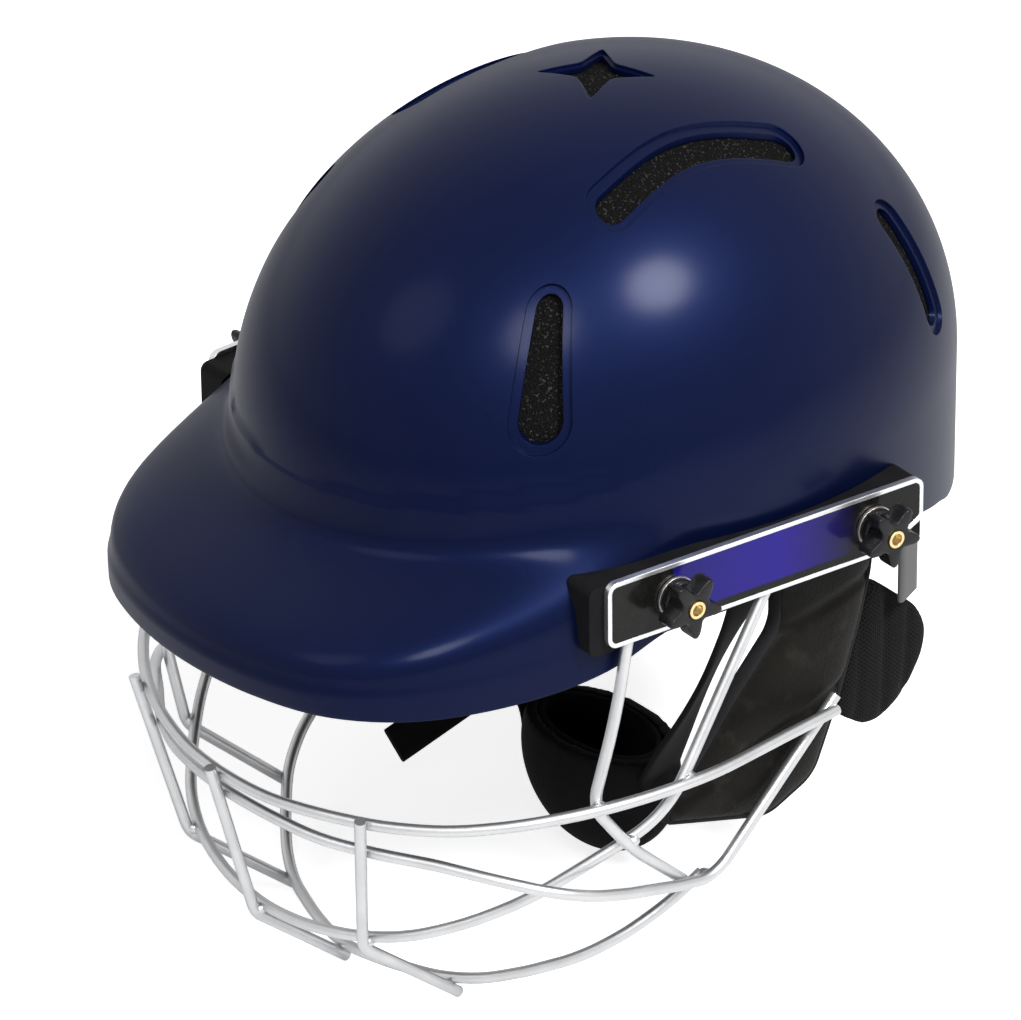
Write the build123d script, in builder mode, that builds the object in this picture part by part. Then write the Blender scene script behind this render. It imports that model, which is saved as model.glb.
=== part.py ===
from build123d import *
import os
from math import asin, atan2, cos, degrees, radians, sin, sqrt, tan

os.makedirs("parts", exist_ok=True)

# A cricket helmet with a steel face guard, in millimetres.
# The origin is where the top of the wearer's head meets the crown pad.
# +Z is up, -Y is where the wearer looks, +X is the wearer's left.

# Shell
shell_half_width = 112.0
shell_half_length = 139.0
dome_rise = 117.5
shell_wall = 3.5
skirt_depth = 80.0
fit_gap = 0.3

# Liner and comfort pads
crown_liner_thickness = 12.0
side_liner_thickness = 16.0
liner_drop = 13.0
liner_sectors = 8
liner_crown_radius = 46.0
liner_joint = 0.6
crown_pad_thickness = 6.4
crown_pad_radius = 34.0
comfort_pad_thickness = 8.0
comfort_pad_height = 30.0
comfort_pad_round = 3.5
forehead_pad_angle = 84.0
temple_pad_angle = 44.0
nape_pad_angle = 80.0

crown_stack = shell_wall + fit_gap + crown_liner_thickness + fit_gap + crown_pad_thickness
dome_level = crown_stack - dome_rise

# Peak, which runs back along both sides as a flange
peak_overhang = 45.0
peak_half_width = 110.0
peak_lip_level = -140.5
peak_lip_tilt = 5.6
peak_lip_depth = 30.0
shoulder_inset = 3.5
shoulder_setback = 8.0
shoulder_level = -127.0
shoulder_tilt = 9.5
crease_half_width = 108.0
crease_setback = 1.5
crease_level = -106.0
crease_tilt = 10.5
root_half_width = 93.0
root_setback = 27.0
root_level = -90.0
peak_outline_shares = [
    (0.33, 0.978), (0.60, 0.915), (0.80, 0.785), (0.93, 0.571),
    (0.985, 0.35), (1.0, 0.054), (0.975, -0.19), (0.86, -0.33),
]
crease_outline_shares = [
    (0.33, 0.944), (0.60, 0.80), (0.80, 0.60), (0.90, 0.436),
    (0.97, 0.243), (1.0, 0.02), (0.955, -0.26), (0.84, -0.45),
]

# Lower edge of the shell, seen from the side: share of the half length, and height
rim_front_level = -148.0
rim_arch_rise = 20.0
rim_arch_shares = [
    (-1.50, 0.0), (-1.30, 0.0), (-0.86, 0.08), (-0.60, 0.30), (-0.44, 0.66), (-0.27, 0.93),
    (0.0, 1.0), (0.27, 0.93), (0.44, 0.72), (0.60, 0.42), (0.80, 0.10),
]

# Vents
vent_recess_depth = 1.4
vent_lip = 3.2
star_tip_radius = 18.5
star_notch_radius = 7.5
star_tip_round = 2.2
star_points = 4
arc_vent_offset = 49.5
arc_vent_half_length = 38.0
arc_vent_bow = 5.0
arc_vent_width = 10.5
front_vent_azimuth = 41.5
front_vent_top = 76.0
front_vent_bottom = 31.0
front_vent_top_radius = 4.6
front_vent_bottom_radius = 7.6
rear_vent_azimuth = 45.0
rear_vent_top = 68.0
rear_vent_bottom = 24.0
rear_vent_radius = 4.6
vent_inner_share = 0.3

# Side plates, each on its own slightly toed-in plane
plate_offset = 119.0
plate_toe = 3.0
plate_level = -116.5
plate_thickness = 2.5
plate_front = 88.0
plate_rear = 48.0
plate_height = 25.0
plate_corner = 4.0
plate_rear_cut_length = 17.0
plate_rear_cut_height = 8.5
label_border = 1.6
label_recess = 0.6

# Clamps through each plate: the rear one is the pivot, the front one runs in a slot
rear_clamp_place = 26.0
front_clamp_place = -60.0
bolt_diameter = 4.0
bolt_clearance = 0.25
guard_swing = 3.5
bolt_head_diameter = 13.0
bolt_head_thickness = 2.4
front_bolt_depth = 15.4
rear_bolt_depth = 15.9
washer_diameter = 15.0
washer_thickness = 1.2
knob_root_radius = 7.6
knob_lobes = 5
knob_lobe_radius = 3.4
knob_lobe_offset = 8.2
knob_collar_radius = 7.2
knob_collar_height = 3.4
knob_height = 11.0
knob_edge = 0.8
insert_diameter = 6.4
insert_proud = 0.6
insert_clearance = 0.15
bolt_reach = 8.0

# Backing blocks between the shell and the plates
backing_front = 94.0
backing_rear = 49.0
backing_drop = 15.0
backing_rise = 11.0
backing_depth = 24.0
backing_corner = 3.0
front_relief_width = 13.0
rear_relief_width = 22.0
rear_relief_place = -17.0
front_relief_place = -77.0
relief_margin = 1.2

# Grille wires and the way they bend
wire_diameter = 4.2
weld_bite = 0.35
bar_overhang = 5.0
sharp_bend_radius = 12.0
bend_share = 0.45
largest_bend_share = 6.0
front_share = 0.5
search_step_share = 0.005
search_halvings = 24

# Grille hoops: each point is a share of the half width, of the reach and of the rise
guard_reach = 170.0
top_hoop_half_width = 122.0
top_hoop_level = -198.0
top_hoop_rise = 11.5
top_hoop_shares = [
    (0, 1, 0), (0.2, 0.988, 0), (0.395, 0.953, 0.17), (0.575, 0.894, 0.26), (0.74, 0.812, 0.43),
    (0.885, 0.706, 0.78), (0.985, 0.576, 1.04), (1.008, 0.43, 0.96), (0.995, 0.265, 0.78),
    (0.94, 0.053, 0.61), (0.893, -0.118, 0.43),
]
second_hoop_half_width = 116.5
second_hoop_setback = 2.2
second_hoop_level = -206.0
second_hoop_drop = 37.0
second_hoop_shares = [
    (0, 1, 0), (0.19, 0.985, 0.027), (0.37, 0.953, 0.08), (0.54, 0.90, 0.08), (0.695, 0.826, 0.108),
    (0.858, 0.755, 0.16), (0.978, 0.67, 0.27), (1.004, 0.577, 0.43), (0.978, 0.47, 0.62),
    (0.944, 0.32, 0.84), (0.91, 0.198, 1.0),
]
main_hoop_half_width = 117.0
main_hoop_setback = 16.5
main_hoop_level = -258.0
main_hoop_rise = 42.0
main_hoop_shares = [
    (0, 1, 0), (0.205, 0.99, 0.05), (0.40, 0.953, 0.143), (0.555, 0.895, 0.26), (0.692, 0.81, 0.45),
    (0.82, 0.71, 0.71), (0.91, 0.60, 1.0),
]
chin_hoop_half_width = 102.5
chin_hoop_setback = 50.5
chin_hoop_level = -287.0
chin_hoop_rise = 43.0
chin_hoop_shares = [
    (0, 1, 0), (0.215, 0.958, 0.012), (0.42, 0.904, 0.047), (0.566, 0.837, 0.116), (0.70, 0.753, 0.256),
    (0.84, 0.653, 0.44), (0.93, 0.536, 0.65), (0.972, 0.40, 0.86),
]
chin_hoop_end_place = -36.0

# Grille braces and bars
brace_end_level = -122.0
rear_brace_place = -13.0
rear_brace_crossing_place = -58.0
rear_brace_lead = 14.0
front_brace_place = -75.0
front_brace_knee_place = -83.0
front_brace_knee_level = -157.0
front_brace_knee_bow = 2.0
front_brace_bend_place = -96.0
brace_meeting_place = -79.0
front_brace_end_place = -46.0
side_bar_top_place = 63.5
side_bar_bend_place = 50.0
side_bar_leg_place = 47.5
far_bar_top_place = 99.0
far_bar_bend_place = 88.0
far_bar_leg_place = 84.0

# Ear guards, each hung from the shell by a tongue of the same moulding
ear_guard_inner = 90.0
ear_guard_thickness = 12.0
ear_guard_length = 95.0
ear_guard_height = 101.0
ear_guard_front = -51.0
ear_guard_bottom = -232.0
ear_guard_shares = [
    (0.558, 1.0), (1.0, 1.0), (1.0, 0.842), (0.947, 0.644), (0.842, 0.347), (0.726, 0.089), (0.505, 0),
    (0, 0.139), (0.358, 0.535), (0.558, 0.733),
]
ear_guard_corner = 5.0
ear_guard_edge = 3.5
hanger_width = 34.0
hanger_thickness = 5.0
hanger_place = 25.0
hanger_top = -111.5
hanger_overlap = 12.0
ear_stud_diameter = 8.0
ear_stud_places = [12.0, 38.0]
ear_stud_level = -118.0

# Mesh pads behind the ear guards, each on its own tab
mesh_pad_thickness = 11.0
mesh_pad_outer = 88.7
mesh_pad_setback = 30.0
mesh_pad_length = 44.0
mesh_pad_height = 61.0
mesh_pad_bottom = -223.0
mesh_pad_shares = [
    (0.40, 1.0), (0.95, 0.66), (1.0, 0.43), (0.77, 0.15), (0.41, 0.0), (0.0, 0.20), (0.16, 0.62),
]
mesh_pad_corner = 5.0
mesh_pad_edge = 3.0
tab_share = 0.4892
tab_width = 14.0
tab_thickness = 2.4
tab_top = -114.0
tab_bottom = -178.0
tab_gap = 0.6

# Chin strap, cup and slider
strap_width = 19.0
strap_thickness = 2.2
strap_top_offset = 104.8
strap_top_level = -112.0
strap_exit_level = -126.0
strap_side_offset = 98.0
strap_side_level = -143.0
strap_top_place = -17.0
strap_cup_offset = 35.0
strap_cup_level = -243.0
strap_end_level = -254.0
strap_cup_place = 0.0
strap_pivot_level = -119.0
strap_rivet_diameter = 9.0
strap_rivet_head = 1.4
strap_shank_diameter = 4.0
cup_half_width = 37.0
cup_half_depth = 23.0
cup_drop = 36.0
cup_wall = 4.5
cup_level = -253.0
cup_place = 1.0
cup_rise = 13.0
cup_lining_thickness = 2.5
slider_width = 25.0
slider_length = 13.0
slider_depth = 7.0
slider_gap = 0.35
slider_place = -231.0
tongue_length = 52.0
tongue_width = 14.0
tongue_sag = 5.0
tongue_end_round = 3.0
tongue_root = 1.2

far_point = 3 * shell_half_length
peak_reach = shell_half_length + peak_overhang
crease_reach = shell_half_length - crease_setback
root_reach = shell_half_length - root_setback
grip = wire_diameter - weld_bite
plate_normal = Vector(cos(radians(plate_toe)), -sin(radians(plate_toe)), 0)
plate_along = Vector(sin(radians(plate_toe)), cos(radians(plate_toe)), 0)
plate_face = Plane(origin=(plate_offset, 0, plate_level), x_dir=plate_along, z_dir=plate_normal)
plate_back = plate_face.offset(-plate_thickness)
clamp_places = (front_clamp_place, rear_clamp_place)
clamp_depths = (front_bolt_depth, rear_bolt_depth)
washer_seat = fit_gap + washer_thickness + fit_gap
liner_half_width = shell_half_width - shell_wall - fit_gap
liner_half_length = shell_half_length - shell_wall - fit_gap
liner_rise = dome_rise - shell_wall - fit_gap
inner_half_width = liner_half_width - side_liner_thickness
inner_half_length = liner_half_length - side_liner_thickness
inner_rise = liner_rise - crown_liner_thickness
comfort_pad_level = dome_level - liner_drop + comfort_pad_height / 2 + fit_gap


def finish(piece, name):
    """Label one finished piece and write its file."""
    piece.part.label = name
    export_step(piece.part, f"parts/{name}.step")


def finish_pair(piece, name):
    """Write a piece for the left side and its mirror image for the right."""
    with BuildPart() as twin:
        mirror(piece.part, about=Plane.YZ)
    finish(piece, "left_" + name)
    finish(twin, "right_" + name)


def dome_solid(half_width, half_length, rise, skirt):
    """Half an ellipsoid that stands on a straight elliptical skirt."""
    with BuildPart() as dome:
        with BuildSketch(Plane.XZ):
            with BuildLine():
                arc = EllipticalCenterArc((0, dome_level), half_width, rise, start_angle=0, arc_size=90)
                Polyline(arc @ 1, (0, dome_level - skirt), (half_width, dome_level - skirt), arc @ 0)
            make_face()
        revolve(axis=Axis.Z)
        scale(by=(1, half_length / half_width, 1))
    return dome.part


def peak_section(half_width, reach, level, tilt, shares):
    """One closed outline of the peak, on a plane that rises towards the back."""
    slope = radians(tilt)
    plane = Plane(origin=(0, -reach, level), x_dir=(1, 0, 0), z_dir=(0, -sin(slope), cos(slope)))
    side = [(share_x * half_width, reach * (1 - share_y) / cos(slope)) for share_x, share_y in shares]
    points = [(-x, y) for x, y in reversed(side)] + [(0, 0)] + side
    with BuildSketch(plane) as section:
        with BuildLine():
            edge = Spline(*points)
            Line(edge @ 1, edge @ 0)
        make_face()
    return section.sketch


def peak_solid(inset):
    """The peak and the flanges that it runs into, from the lip up to inside the dome."""
    lip = peak_section(peak_half_width - inset, peak_reach - inset, peak_lip_level - inset, peak_lip_tilt,
                       peak_outline_shares)
    shoulder = peak_section(peak_half_width - shoulder_inset - inset, peak_reach - shoulder_setback - inset,
                            shoulder_level - inset, shoulder_tilt, peak_outline_shares)
    crease = peak_section(
        crease_half_width - inset,
        crease_reach - inset,
        crease_level - inset,
        crease_tilt,
        crease_outline_shares,
    )
    root = peak_section(root_half_width - inset, root_reach - inset, root_level - inset, crease_tilt,
                        crease_outline_shares)
    with BuildPart() as peak:
        loft([lip, shoulder, crease, root])
        extrude(lip, amount=-peak_lip_depth)
    return peak.part


def shell_form(grow):
    """The outside of the shell, grown or shrunk all round."""
    with BuildPart() as form:
        depth = skirt_depth + abs(grow)
        add(dome_solid(shell_half_width + grow, shell_half_length + grow, dome_rise + grow, depth))
        add(peak_solid(-grow))
    return form.part


def meridian_plane(azimuth, forward):
    """An upright plane through the axis of the dome, square to an azimuth on the left side."""
    out_x = sin(radians(azimuth))
    out_y = cos(radians(azimuth)) * forward
    return Plane(origin=(0, 0, dome_level), x_dir=(-out_y, out_x, 0), z_dir=(out_x, out_y, 0))


def hull_prism(plane, places, radii):
    """A straight prism whose outline wraps circles placed up the plane."""
    with BuildPart() as prism:
        with BuildSketch(plane):
            for place, radius in zip(places, radii):
                with Locations((0, place)):
                    Circle(radius)
            make_hull()
        extrude(amount=far_point)
    return prism.part


def vent_prisms(lip):
    """All the vents as straight prisms, each widened by a lip."""
    corners = []
    for point in range(star_points):
        tip_turn = radians((point + 0.5) * 360 / star_points)
        notch_turn = radians((point + 1) * 360 / star_points)
        corners.append(Vector(cos(tip_turn), sin(tip_turn)) * (star_tip_radius + lip))
        notch_radius = star_notch_radius + lip * vent_inner_share
        corners.append(Vector(cos(notch_turn), sin(notch_turn)) * notch_radius)
    with BuildPart() as prisms:
        with BuildSketch(Plane.XY.offset(dome_level)) as star:
            with BuildLine():
                Polyline(*corners, close=True)
            make_face()
            fillet(star.vertices(), star_tip_round)
        extrude(amount=far_point)
        with BuildLine(mode=Mode.PRIVATE) as bow:
            ThreePointArc(
                (arc_vent_offset + arc_vent_bow, -arc_vent_half_length),
                (arc_vent_offset, 0),
                (arc_vent_offset + arc_vent_bow, arc_vent_half_length),
            )
        with BuildSketch(Plane.XY.offset(dome_level)):
            SlotArc(bow.edge(), arc_vent_width + 2 * lip)
        extrude(amount=far_point)
        add(hull_prism(
            meridian_plane(front_vent_azimuth, -1),
            (front_vent_top - front_vent_top_radius, front_vent_bottom + front_vent_bottom_radius),
            (front_vent_top_radius + lip, front_vent_bottom_radius + lip),
        ))
        add(hull_prism(
            meridian_plane(rear_vent_azimuth, 1),
            (rear_vent_top - rear_vent_radius, rear_vent_bottom + rear_vent_radius),
            (rear_vent_radius + lip, rear_vent_radius + lip),
        ))
        mirror(about=Plane.YZ)
    return prisms.part


def clamp_bores(diameter, places=clamp_places):
    """Straight bores along the clamp axes of the left plate."""
    with BuildPart() as bores:
        with BuildSketch(plate_face):
            with Locations(*[(place, 0) for place in places]):
                Circle(diameter / 2)
        extrude(amount=far_point, both=True)
    return bores.part


def swing_slot(diameter):
    """The slot in the left plate that lets it swing about its rear clamp."""
    with BuildPart() as slot:
        with BuildLine(plate_face, mode=Mode.PRIVATE) as arc:
            swing_radius = rear_clamp_place - front_clamp_place
            CenterArc((rear_clamp_place, 0), swing_radius, 180 - guard_swing, 2 * guard_swing)
        with BuildSketch(plate_face):
            SlotArc(plate_face.to_local_coords(arc.edge()), diameter)
        extrude(amount=plate_thickness, both=True)
    return slot.part


def plate_outline(inset):
    """The outline of a side plate on its own plane, with its lower rear corner cut away."""
    low = inset - plate_height / 2
    high = plate_height / 2 - inset
    with BuildSketch(plate_face) as outline:
        with BuildLine():
            Polyline(
                (inset - plate_front, low),
                (plate_rear - plate_rear_cut_length, low),
                (plate_rear - inset, low + plate_rear_cut_height),
                (plate_rear - inset, high),
                (inset - plate_front, high),
                close=True,
            )
        make_face()
        fillet(outline.vertices(), plate_corner - inset)
    return outline.sketch


def outline_points(shares, start, length, bottom, height):
    """Points of an upright outline from shares of its length and height."""
    return [(start + share_y * length, bottom + share_z * height) for share_y, share_z in shares]


def upright_pad(points, corner, inner, thickness, edge):
    """A pad with an upright outline, softened at its corners and along its faces."""
    with BuildPart() as pad:
        with BuildSketch(Plane.YZ.offset(inner)) as outline:
            with BuildLine():
                Polyline(*points, close=True)
            make_face()
            fillet(outline.vertices(), corner)
        extrude(amount=thickness)
        fillet(pad.faces().sort_by(Axis.X)[-1].edges() + pad.faces().sort_by(Axis.X)[0].edges(), edge)
    return pad.part


def comfort_pad(middle_angle, span, offset_thickness):
    """A rounded strip of padding along the inside of the liner."""
    pad_limit = inner_half_width - fit_gap
    start = radians(middle_angle - span / 2)
    section = Plane(origin=(0, 0, 0), x_dir=(cos(start), sin(start)), z_dir=(sin(start), -cos(start)))
    with BuildPart() as pad:
        with BuildSketch(section):
            with Locations((pad_limit - offset_thickness / 2, comfort_pad_level)):
                RectangleRounded(offset_thickness, comfort_pad_height, comfort_pad_round)
        revolve(axis=Axis.Z, revolution_arc=span)
        round_form = dome_solid(pad_limit, pad_limit, inner_rise - fit_gap, skirt_depth)
        add(round_form, mode=Mode.INTERSECT)
        scale(by=(1, (inner_half_length - fit_gap) / pad_limit, 1))
    return pad


# Shell with its peak, vents, clamp holes and strap holes
with BuildPart() as shell:
    add(shell_form(0))
    add(shell_form(-shell_wall), mode=Mode.SUBTRACT)
    with BuildSketch(Plane.YZ):
        with BuildLine():
            rim = Spline(*[
                (y_share * shell_half_length, rim_front_level + z_share * rim_arch_rise)
                for y_share, z_share in rim_arch_shares
            ])
            Polyline(
                rim @ 1,
                (far_point, (rim @ 1).Y),
                (far_point, -far_point),
                (-far_point, -far_point),
                (-far_point, (rim @ 0).Y),
                rim @ 0,
            )
        make_face()
    extrude(amount=far_point, both=True, mode=Mode.SUBTRACT)
    add(vent_prisms(0), mode=Mode.SUBTRACT)
    with BuildPart(mode=Mode.PRIVATE) as recess:
        add(vent_prisms(vent_lip))
        add(dome_solid(shell_half_width - vent_recess_depth, shell_half_length - vent_recess_depth,
                       dome_rise - vent_recess_depth, skirt_depth), mode=Mode.SUBTRACT)
    add(recess.part, mode=Mode.SUBTRACT)
    with BuildPart(mode=Mode.PRIVATE) as side_holes:
        add(clamp_bores(bolt_diameter + 2 * bolt_clearance))
        with BuildSketch(Plane.YZ):
            with Locations((strap_top_place, strap_pivot_level)):
                Circle(strap_shank_diameter / 2 + bolt_clearance)
        extrude(amount=far_point)
        split(bisect_by=Plane.YZ)
        mirror(about=Plane.YZ)
    add(side_holes.part, mode=Mode.SUBTRACT)
finish(shell, "shell")

# Energy-absorbing liner inside the shell: a crown block with a ring of side blocks round it
with BuildPart() as foam_liner:
    add(dome_solid(liner_half_width, liner_half_length, liner_rise, liner_drop))
    add(dome_solid(inner_half_width, inner_half_length, inner_rise, liner_drop), mode=Mode.SUBTRACT)
    with BuildSketch(Plane.XY.offset(dome_level - liner_drop)):
        Circle(liner_crown_radius + liner_joint)
        Circle(liner_crown_radius, mode=Mode.SUBTRACT)
    extrude(amount=far_point, mode=Mode.SUBTRACT)
    with BuildPart(mode=Mode.PRIVATE) as sector_joints:
        with BuildSketch(Plane.XY.offset(dome_level - liner_drop)):
            with PolarLocations(0, liner_sectors // 2, start_angle=180 / liner_sectors, angular_range=180):
                Rectangle(far_point, liner_joint)
            Circle(liner_crown_radius + liner_joint / 2, mode=Mode.SUBTRACT)
        extrude(amount=far_point)
    add(sector_joints.part, mode=Mode.SUBTRACT)
finish(foam_liner, "foam_liner")

# Pad under the crown of the liner; its underside is the origin
with BuildPart() as crown_pad:
    with BuildSketch():
        Circle(crown_pad_radius)
    extrude(amount=crown_stack)
    under_dome = dome_solid(
        inner_half_width - fit_gap, inner_half_length - fit_gap, inner_rise - fit_gap, liner_drop,
    )
    add(under_dome, mode=Mode.INTERSECT)
    fillet(crown_pad.edges().sort_by(Axis.Z)[0], crown_pad_thickness / 4)
finish(crown_pad, "crown_pad")

forehead_pad = comfort_pad(-90, forehead_pad_angle, comfort_pad_thickness)
finish(forehead_pad, "forehead_pad")
nape_pad = comfort_pad(90, nape_pad_angle, comfort_pad_thickness)
finish(nape_pad, "nape_pad")
temple_pad = comfort_pad(0, temple_pad_angle, comfort_pad_thickness)
finish_pair(temple_pad, "temple_pad")

# Side plates with a raised border round the label
with BuildPart() as side_plate:
    extrude(plate_outline(0), amount=-plate_thickness)
    extrude(plate_outline(label_border), amount=-label_recess, mode=Mode.SUBTRACT)
    add(clamp_bores(bolt_diameter + 2 * bolt_clearance, (rear_clamp_place,)), mode=Mode.SUBTRACT)
    add(swing_slot(bolt_diameter + 2 * bolt_clearance), mode=Mode.SUBTRACT)
finish_pair(side_plate, "side_plate")

# Plain labels that lie in the recess of the plates
with BuildPart() as label:
    extrude(plate_outline(label_border + fit_gap / 2), amount=-label_recess)
    add(clamp_bores(bolt_diameter + 2 * bolt_clearance, (rear_clamp_place,)), mode=Mode.SUBTRACT)
    add(swing_slot(bolt_diameter + 2 * bolt_clearance), mode=Mode.SUBTRACT)
finish_pair(label, "label")

# Backing blocks that fill the space between the shell and the plates
with BuildPart() as backing_block:
    with BuildSketch(plate_back.offset(-fit_gap)) as backing_outline:
        with BuildLine():
            Polyline(
                (-backing_front, -backing_drop),
                (backing_rear, -backing_drop),
                (backing_rear, backing_rise),
                (-backing_front, backing_rise),
                close=True,
            )
        make_face()
        fillet(backing_outline.vertices(), backing_corner)
    extrude(amount=-backing_depth)
    add(shell_form(fit_gap), mode=Mode.SUBTRACT)
    add(clamp_bores(bolt_diameter + 2 * bolt_clearance), mode=Mode.SUBTRACT)
    for place, end_place, width in (
        (front_relief_place, front_brace_place, front_relief_width),
        (rear_relief_place, rear_brace_place, rear_relief_width),
    ):
        travel = (rear_clamp_place - end_place) * sin(radians(guard_swing))
        relief_top = brace_end_level - plate_level + wire_diameter / 2 + travel + relief_margin
        relief_height = relief_top + backing_drop
        with BuildSketch(plate_back):
            with Locations((place, relief_top - relief_height)):
                Rectangle(width, 2 * relief_height)
        extrude(amount=-backing_depth - fit_gap, mode=Mode.SUBTRACT)
finish_pair(backing_block, "backing_block")

# Clamp bolts: heads inside the shell, shanks out through the plates
with BuildPart() as clamp_bolts:
    for place, depth in zip(clamp_places, clamp_depths):
        with BuildSketch(plate_face.offset(-depth)):
            with Locations((place, 0)):
                Circle(bolt_head_diameter / 2)
        extrude(amount=-bolt_head_thickness)
        with BuildSketch(plate_face.offset(-depth)):
            with Locations((place, 0)):
                Circle(bolt_diameter / 2)
        extrude(amount=depth + washer_seat + bolt_reach)
    mirror(about=Plane.YZ)
finish(clamp_bolts, "clamp_bolts")

# Washers between the plates and the knobs
with BuildPart() as clamp_washers:
    with BuildSketch(plate_face.offset(fit_gap)):
        with Locations(*[(place, 0) for place in clamp_places]):
            Circle(washer_diameter / 2)
            Circle(bolt_diameter / 2 + bolt_clearance, mode=Mode.SUBTRACT)
    extrude(amount=washer_thickness)
    mirror(about=Plane.YZ)
finish(clamp_washers, "clamp_washers")

# Knobs with lobes, each with a threaded insert
for end_name, place in zip(("front", "rear"), clamp_places):
    with BuildPart() as knob:
        with BuildSketch(plate_face.offset(washer_seat)):
            with Locations((place, 0)):
                Circle(knob_collar_radius)
        extrude(amount=knob_collar_height)
        with BuildSketch(plate_face.offset(washer_seat + knob_collar_height)):
            with Locations((place, 0)):
                Circle(knob_root_radius)
                with PolarLocations(knob_lobe_offset, knob_lobes):
                    Circle(knob_lobe_radius)
        extrude(amount=knob_height - knob_collar_height)
        fillet(knob.faces().sort_by(Axis(plate_face.origin, plate_face.z_dir))[-1].edges(), knob_edge)
        with BuildSketch(plate_face.offset(washer_seat)):
            with Locations((place, 0)):
                Circle(insert_diameter / 2)
        extrude(amount=knob_height, mode=Mode.SUBTRACT)
    finish_pair(knob, end_name + "_knob")
    with BuildPart() as knob_insert:
        with BuildSketch(plate_face.offset(washer_seat)):
            with Locations((place, 0)):
                Circle(insert_diameter / 2)
                Circle(bolt_diameter / 2 + insert_clearance, mode=Mode.SUBTRACT)
        extrude(amount=knob_height + insert_proud)
    finish_pair(knob_insert, end_name + "_knob_insert")


def mirrored(points):
    """Both halves of a symmetric run of points, from the right end to the left end."""
    return [Vector(-point.X, point.Y, point.Z) for point in reversed(points[1:])] + points


def scaled(shares, half_width, reach, level, rise):
    """The points of one hoop's left half, from the front back."""
    return [Vector(x * half_width, -y * reach, level + z * rise) for x, y, z in shares]


def bent_path(points, sharp_corners=()):
    """Straight runs through the points, joined by arcs as large as the runs allow, or by sharp bends."""
    radii = []
    for corner in range(1, len(points) - 1):
        run_in = points[corner] - points[corner - 1]
        run_out = points[corner + 1] - points[corner]
        shorter = min(run_in.length, run_out.length)
        widest = bend_share * shorter / tan(radians(run_in.get_angle(run_out) / 2))
        radii.append(min(widest, largest_bend_share * shorter))
        if corner in sharp_corners:
            radii[-1] = sharp_bend_radius
    with BuildLine() as path:
        FilletPolyline(*points, radius=radii)
    return path.wire()


def corner_outside(before, touch, after):
    """The corner of a sharp bend whose arc passes through a point."""
    into = (touch - before).normalized()
    out = (after - touch).normalized()
    half_turn = radians(into.get_angle(out) / 2)
    return touch + (into - out).normalized() * sharp_bend_radius * (1 / cos(half_turn) - 1)


def reached(path, axis, goal):
    """The share of a hoop, from its front to its left end, where it first reaches a place."""
    share = front_share
    while share < 1 and getattr(path @ share, axis) < goal:
        share += search_step_share
    low = share - search_step_share
    for _ in range(search_halvings):
        middle = (low + share) / 2
        if getattr(path @ middle, axis) < goal:
            low = middle
        else:
            share = middle
    return share


def beside(path, share, offset, across=Vector(0, 0, 1)):
    """A point moved square to a hoop and to another direction, outwards where the offset is positive."""
    return path @ share + (path % share).cross(across).normalized() * offset


def bar_points(top_share, main_share, chin_share, side_of_top):
    """A bar across the top hoop on one side, bent round the main hoop, that ends under the chin hoop."""
    top = top_path @ top_share
    main = main_path @ main_share
    chin = chin_path @ chin_share
    down = (main - top).normalized()
    back = (chin - main).normalized()
    off_top = down.cross(top_path % top_share).normalized()
    off_chin = back.cross(chin_path % chin_share).normalized()
    touch = main + (off_top + off_chin).normalized() * grip
    start = top + off_top * grip * side_of_top
    end = chin + off_chin * grip
    corner = corner_outside(start, touch, end)
    return [
        start + (start - corner).normalized() * bar_overhang,
        corner,
        end + (end - corner).normalized() * bar_overhang,
    ]


def brace_end(place):
    """Where a brace is welded to the inner face of the side plate."""
    inner_face = plate_offset + place * tan(radians(plate_toe)) - plate_thickness / cos(radians(plate_toe))
    return Vector(inner_face - wire_diameter / 2 + weld_bite, place, brace_end_level)


def wire_piece(path):
    """A round wire along a path."""
    with BuildPart() as wire:
        with BuildSketch(Plane(origin=path @ 0, z_dir=path % 0)):
            Circle(wire_diameter / 2)
        sweep(path=path)
    return wire


# Grille paths: the hoops first, then the bars and braces that are welded to them
top_points = scaled(top_hoop_shares, top_hoop_half_width, guard_reach, top_hoop_level, top_hoop_rise)
top_path = bent_path(mirrored(top_points))
second_hoop_reach = guard_reach - second_hoop_setback
second_points = scaled(
    second_hoop_shares, second_hoop_half_width, second_hoop_reach, second_hoop_level, -second_hoop_drop,
)
leg_end = beside(top_path, 1, -grip)
leg_end = leg_end + (leg_end - second_points[-1]).normalized() * bar_overhang
second_path = bent_path(mirrored(second_points + [leg_end]))
crossing = beside(top_path, reached(top_path, "Y", rear_brace_crossing_place), -grip)
brace_root = brace_end(rear_brace_place)
main_hoop_reach = guard_reach - main_hoop_setback
main_points = scaled(
    main_hoop_shares, main_hoop_half_width, main_hoop_reach, main_hoop_level, main_hoop_rise,
)
main_points.append(crossing + (crossing - brace_root).normalized() * rear_brace_lead)
main_points.append(brace_root)
main_path = bent_path(mirrored(main_points))
chin_hoop_reach = guard_reach - chin_hoop_setback
chin_points = scaled(
    chin_hoop_shares, chin_hoop_half_width, chin_hoop_reach, chin_hoop_level, chin_hoop_rise,
)
chin_points.append(beside(second_path, reached(second_path, "Y", chin_hoop_end_place), -grip))
chin_path = bent_path(mirrored(chin_points))
centre_path = bent_path(bar_points(front_share, front_share, front_share, 1), (1,))
side_path = bent_path(bar_points(
    reached(top_path, "X", side_bar_top_place),
    reached(main_path, "X", side_bar_bend_place),
    reached(chin_path, "X", side_bar_leg_place),
    1,
), (1,))
far_path = bent_path(bar_points(
    reached(top_path, "X", far_bar_top_place),
    reached(main_path, "X", far_bar_bend_place),
    reached(chin_path, "X", far_bar_leg_place),
    -1,
), (1,))
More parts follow.
